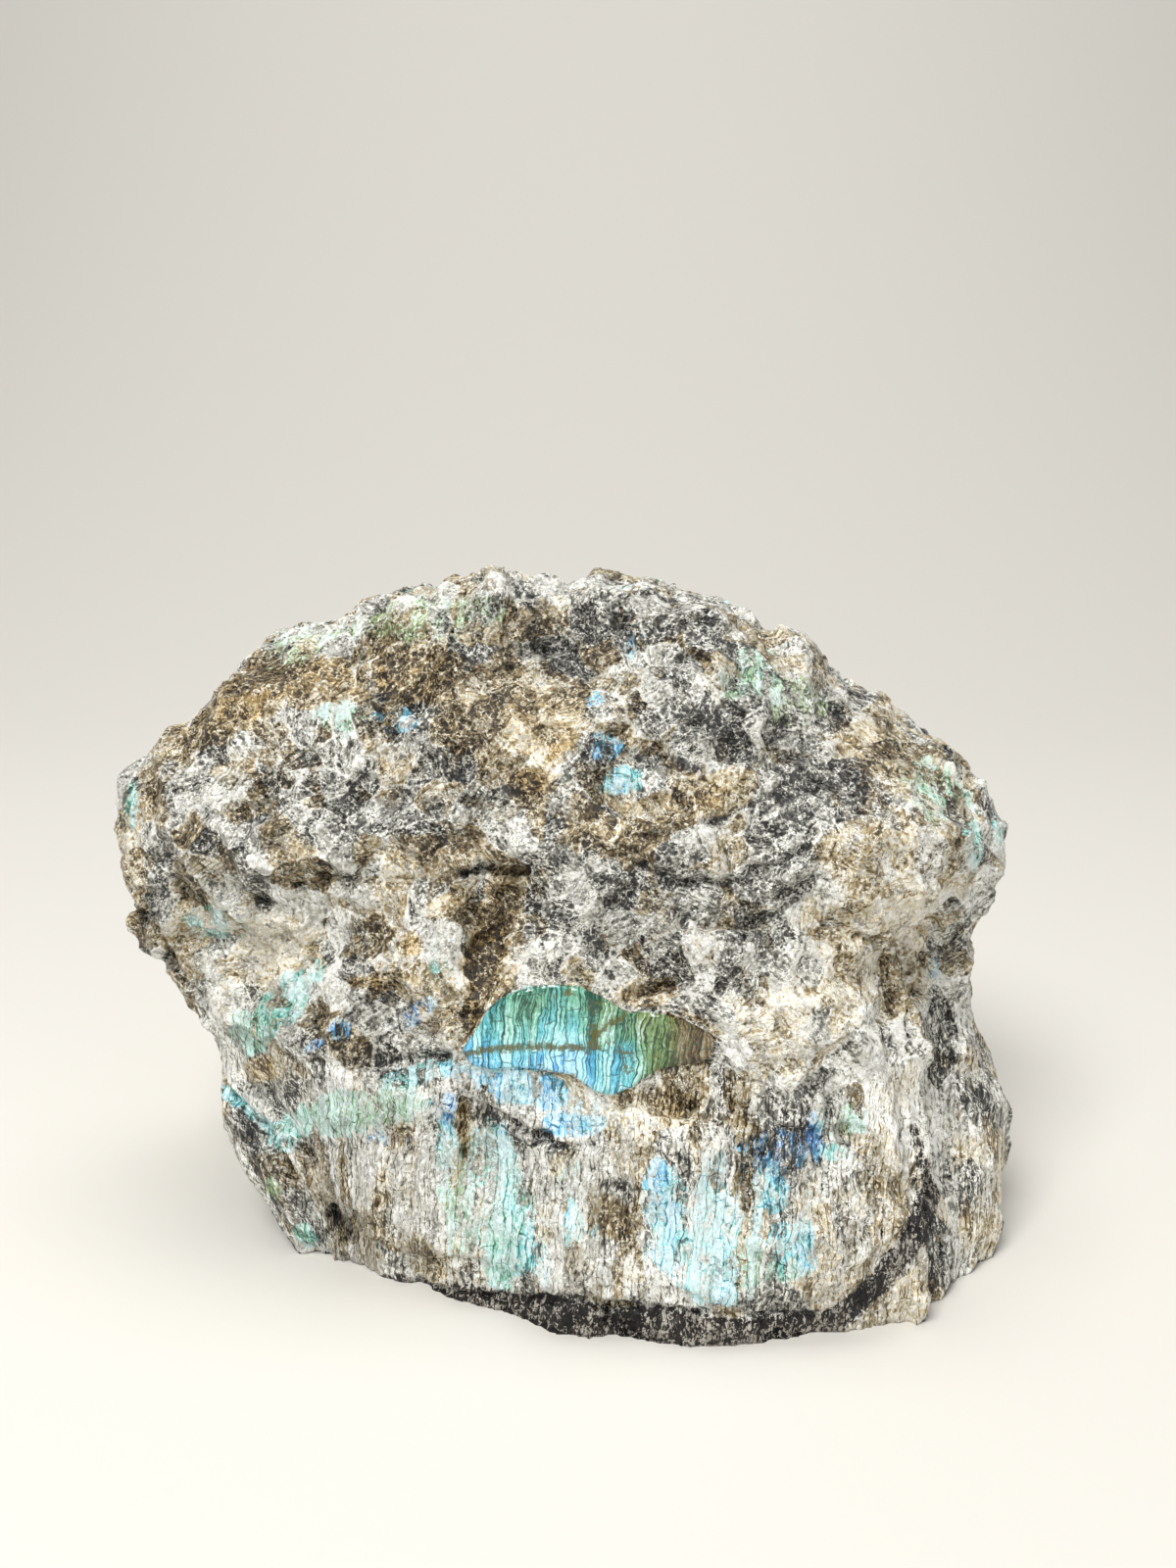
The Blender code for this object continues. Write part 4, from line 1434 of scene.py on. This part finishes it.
        weight = add("MapRange", EASED, {0: fade, 1: 0.62, 2: 0.42})[0]
        hair = add("Math", TIMES, {0: hair, 1: weight})[0]
        low_crack = add("Math", LARGER, {0: crack, 1: hair})[0]
        low_crack = add("Math", TIMES, {0: low_crack, 1: maps["low"]})[0]
        return {
            "crack": crack, "full crack": full, "low crack": low_crack, "hair": hair,
            "shade": shade, "piece": piece, "streak": streak,
        }

    def lightness(self, add: partial, maps: dict) -> bpy.types.NodeSocket:
        """How light each place is, from black to white.

        Args:
            add: adds a node.
            maps: the texture's sockets by name.

        Returns:
            A socket, from 0 to 1.
        """
        # the tone holds painted shade and highlights, and the ridge term lightens ridges and paints shade
        # in grooves
        broad = weigh(add, maps, 0.525, {
            "tone": (0.34, 0.0), "ridge": (0.2, 0.0), "crystal": (0.5, 0.5), "field": (0.3, 0.5),
            "splinter": (0.36, 0.5), "crushed": (0.3, 0.15), "striae": (0.95, 0.5),
        })
        broad = add("Clamp", {}, {"Value": broad, "Min": 0.1, "Max": 0.87})[0]
        # the white flecks are partly painted glints of cleavage edges
        total = weigh(add, maps, 0.0, {
            broad: (1.0, 0.0), "ridge": (0.06, 0.0), "felt": (1.15, 0.5), "white": (0.42, 0.3),
            "bristle": (0.56, 0.22), "low crack": (-0.45, 0.2),
        })
        return add("Clamp", {}, {"Value": total})[0]

    def broken_colour(self, add: partial, maps: dict) -> bpy.types.NodeSocket:
        """Colour of the broken rock, with schiller and the dark crust laid over it.

        Args:
            add: adds a node.
            maps: the texture's sockets by name.

        Returns:
            A colour socket.
        """
        cover = weigh(add, maps, 0.5, {
            "splinter hue": (1.0, 0.0), "crystal hue": (0.5, 0.5), "fleck hue": (0.6, 0.5),
            "shade": (0.7, 0.5), "streak": (2.2, 0.5),
        })
        cover = add("Math", TIMES, {0: cover, 1: maps["schiller"]})[0]
        strong = add("MapRange", EASED, {0: maps["schiller"], 1: 1.0, 2: 1.2})[0]
        cover = weigh(add, maps, 0.0, {cover: (1.0, 0.0), strong: (0.3, 0.0)})
        cover = add("MapRange", EASED, {0: cover, 1: 0.3, 2: 0.8})[0]
        rock, gleam = self.rock_colour(add, maps), self.gleam_colour(add, maps)
        rock = add("Mix", LAYER, {0: cover, 6: rock, 7: gleam})[2]
        # painted glints: the lightest places of the crust reach its palest stops
        glint = weigh(add, maps, -0.42, {"lightness": (1.4, 0.0), "crust": (-0.3, 0.0)})
        crust = add("ValToRGB", {"stops": self.crust}, {"Fac": glint})["Color"]
        cover = weigh(add, maps, 0.0, {
            "crust": (1.0, 0.0), "splinter hue": (0.3, 0.5), "felt": (0.6, 0.5),
        })
        cover = add("MapRange", EASED, {0: cover, 1: 0.25, 2: 0.5})[0]
        return add("Mix", LAYER, {0: cover, 6: rock, 7: crust})[2]

    def rock_colour(self, add: partial, maps: dict) -> bpy.types.NodeSocket:
        """Colour of the bare rock: cool grey, with crystals that iron has stained tan.

        Args:
            add: adds a node.
            maps: the texture's sockets by name.

        Returns:
            A colour socket.
        """
        cool = add("ValToRGB", {"stops": self.cool}, {"Fac": maps["lightness"]})["Color"]
        warm = add("ValToRGB", {"stops": self.warm}, {"Fac": maps["lightness"]})["Color"]
        stain = weigh(add, maps, 0.0, {
            "warmth": (1.0, 0.0), "crystal stain": (0.8, 0.5), "splinter stain": (0.2, 0.5),
            "field stain": (1.4, 0.5),
        })
        stain = add("MapRange", EASED, {0: stain, 1: 0.0, 2: 0.3})[0]
        rock = add("Mix", LAYER, {0: stain, 6: cool, 7: warm})[2]
        ochre = weigh(add, maps, 0.0, {"warmth": (1.0, 0.0), "splinter stain": (0.5, 0.5)})
        ochre = add("MapRange", EASED, {0: ochre, 1: 0.65, 2: 1.15, 4: 0.8})[0]
        return add("Mix", TINT, {0: ochre, 6: rock, 7: linear_colour(self.ochre)})[2]

    def gleam_colour(self, add: partial, maps: dict) -> bpy.types.NodeSocket:
        """Colour of the schiller on broken faces: dark in the cracks, with painted glints on the
        brightest edges.

        Args:
            add: adds a node.
            maps: the texture's sockets by name.

        Returns:
            A colour socket.
        """
        hue = weigh(add, maps, 0.0, {
            "hue": (1.0, 0.0), "splinter stain": (0.16, 0.5), "piece": (0.1, 0.5),
        })
        gleam = add("ValToRGB", {"stops": self.schiller}, {"Fac": hue})["Color"]
        deep = add("Mix", TINT, {0: 0.85, 6: gleam, 7: linear_colour(self.schiller_shade)})[2]
        light = weigh(add, maps, 0.1, {
            "lightness": (1.0, 0.0), "crack": (-0.42, 0.1), "shade": (0.5, 0.5), "streak": (1.7, 0.5),
        })
        lit = add("MapRange", EASED, {0: light, 1: 0.05, 2: 0.5})[0]
        gleam = add("Mix", LAYER, {0: lit, 6: deep, 7: gleam})[2]
        # painted highlight on the brightest places of the schiller
        glint = add("MapRange", EASED, {0: light, 1: 0.45, 2: 0.95, 4: 0.85})[0]
        return add("Mix", LAYER, {0: glint, 6: gleam, 7: linear_colour(self.schiller_glint)})[2]

    def window_colour(self, add: partial, maps: dict) -> bpy.types.NodeSocket:
        """Colour of the polished window: schiller crossed by cracks, painted glints, and a dull brown
        right end.

        Args:
            add: adds a node.
            maps: the texture's sockets by name.

        Returns:
            A colour socket.
        """
        hue = weigh(add, maps, 0.0, {
            "hue": (1.0, 0.0), "shade": (0.14, 0.5), "piece": (0.12, 0.5), "field": (0.45, 0.5),
        })
        gleam = add("ValToRGB", {"stops": self.deep_schiller}, {"Fac": hue})["Color"]
        light = weigh(add, maps, 0.38, {
            "tone": (0.6, 0.0), "piece": (0.3, 0.5), "shade": (0.4, 0.5), "streak": (2.2, 0.5),
            "hair": (-0.6, 0.2), "fleck": (0.2, 0.5), "field stain": (0.9, 0.5), "felt": (0.7, 0.5),
        })
        deep = add("Mix", TINT, {0: 0.95, 6: gleam, 7: linear_colour(self.window_shade)})[2]
        lit = add("MapRange", EASED, {0: light, 1: 0.1, 2: 0.65})[0]
        gleam = add("Mix", LAYER, {0: lit, 6: deep, 7: gleam})[2]
        # painted highlight on the brightest streaks of the window
        glint = add("MapRange", EASED, {0: light, 1: 0.6, 2: 1.05, 4: 0.75})[0]
        gleam = add("Mix", LAYER, {0: glint, 6: gleam, 7: linear_colour(self.window_glint)})[2]
        dull = weigh(add, maps, -0.78, {"streak": (2.4, 0.0), "shade": (0.4, 0.5), "felt": (0.9, 0.5)})
        dull = add("ValToRGB", {"stops": self.warm}, {"Fac": dull})["Color"]
        dull = add("Mix", TINT, {0: 0.9, 6: dull, 7: linear_colour(self.window_dull)})[2]
        gem = add("Mix", LAYER, {0: maps["schiller"], 6: dull, 7: gleam})[2]
        crack = add("Math", TIMES, {0: maps["full crack"], 1: 0.8})[0]
        gem = add("Mix", LAYER, {0: crack, 6: gem, 7: linear_colour(self.crack_colour)})[2]
        rust = weigh(add, maps, 0.0, {
            "warmth": (1.0, 0.0), "felt": (2.2, 0.5), "splinter stain": (0.5, 0.5),
        })
        rust = add("MapRange", EASED, {0: rust, 1: 0.6, 2: 0.72, 4: 0.85})[0]
        gem = add("Mix", LAYER, {0: rust, 6: gem, 7: linear_colour(self.rust_colour)})[2]
        seam = weigh(add, maps, 0.0, {
            "fissure_mm": (1.0, 0.0), "felt": (-2.4, 0.5), "fleck": (-0.3, 0.5),
        })
        seam = add("MapRange", EASED, {0: seam, 1: 0.15, 2: 0.7, 3: 0.9, 4: 0.0})[0]
        return add("Mix", LAYER, {0: seam, 6: gem, 7: linear_colour(self.seam_colour)})[2]


@dataclass(frozen=True)
class PaperFinish:
    """Matt background paper, rolled: an even pale surface with no gloss."""

    colour: str = "#D9D6CF"
    roughness: float = 0.9

    def build(self) -> bpy.types.Material:
        """Makes the material.

        Returns:
            The material.
        """
        material = bpy.data.materials.new("matt_paper")
        material.use_nodes = True
        shader = material.node_tree.nodes["Principled BSDF"]
        shader.inputs["Base Color"].default_value = linear_colour(self.colour)
        shader.inputs["Roughness"].default_value = self.roughness
        return material


@dataclass(frozen=True)
class SoftLight:
    """A square soft box, aimed at the stone."""

    name: str
    place: tuple[float, float, float]
    size: float
    watts: float
    colour: str = "#FFFFFF"
    aim: tuple[float, float, float] = (0.0, 0.0, 0.045)


@dataclass
class Studio:
    """The pale floor, its sweep up behind the stone, and the soft light."""

    half_width: float = 2.0
    front: float = -1.2
    bend_start: float = 0.35
    bend_radius: float = 1.2
    wall_top: float = 2.6
    bend_steps: int = 48
    world_colour: str = "#F2F1EE"
    world_strength: float = 0.34
    lights: tuple = (
        SoftLight("key_light", (-0.20, -0.42, 0.66), 0.30, 5.4),
        SoftLight("fill_light", (0.50, -0.60, 0.25), 0.40, 0.9),
        SoftLight("backdrop_light", (0.0, 0.25, 1.5), 1.0, 14.0, aim=(0.0, 1.3, 0.4)),
    )

    def build(self) -> None:
        """Makes the floor, the lights and the world."""
        self.build_floor()
        for light in self.lights:
            self.build_light(light)
        world = bpy.data.worlds.new("studio")
        world.use_nodes = True
        background = world.node_tree.nodes["Background"]
        background.inputs["Color"].default_value = linear_colour(self.world_colour)
        background.inputs["Strength"].default_value = self.world_strength
        bpy.context.scene.world = world
        bpy.context.scene.view_settings.view_transform = "Standard"

    def build_floor(self) -> None:
        """Makes the floor as one sheet that bends up into a wall."""
        bend = [math.radians(90 * i / self.bend_steps) for i in range(self.bend_steps + 1)]
        profile = [(self.front, 0.0)]
        profile += [
            (self.bend_start + self.bend_radius * math.sin(a), self.bend_radius * (1 - math.cos(a)))
            for a in bend
        ]
        profile.append((self.bend_start + self.bend_radius, self.wall_top))
        sheet = bmesh.new()
        left = [sheet.verts.new((-self.half_width, y, z)) for y, z in profile]
        right = [sheet.verts.new((self.half_width, y, z)) for y, z in profile]
        for i in range(len(profile) - 1):
            sheet.faces.new((left[i], right[i], right[i + 1], left[i + 1]))
        mesh = bpy.data.meshes.new("paper_sweep")
        sheet.to_mesh(mesh)
        sheet.free()
        mesh.shade_smooth()
        mesh.materials.append(PaperFinish().build())
        floor = bpy.data.objects.new("paper_sweep", mesh)
        bpy.context.scene.collection.objects.link(floor)

    def build_light(self, light: SoftLight) -> None:
        """Makes one soft box.

        Args:
            light: its place, size and power.
        """
        data = bpy.data.lights.new(light.name, "AREA")
        data.shape = "SQUARE"
        data.size = light.size
        data.energy = light.watts
        data.color = linear_colour(light.colour)[:3]
        lamp = bpy.data.objects.new(light.name, data)
        lamp.location = light.place
        aim = Vector(light.aim) - Vector(light.place)
        lamp.rotation_euler = aim.to_track_quat("-Z", "Y").to_euler()
        bpy.context.scene.collection.objects.link(lamp)


def main() -> None:
    """Builds the camera, the stone and the studio in order."""
    logging.basicConfig(level=logging.INFO, format="%(name)s: %(message)s")
    camera = PhotoCamera()
    camera.build()
    piece = RoughStone(camera, WindowLeaf(), CrystalNoise(seed=11)).build()
    piece.data.materials.append(LabradoriteFinish().build())
    LOG.info("%s dressed", piece.name)
    Studio().build()
    LOG.info("studio ready")


if __name__ == "__main__":
    main()
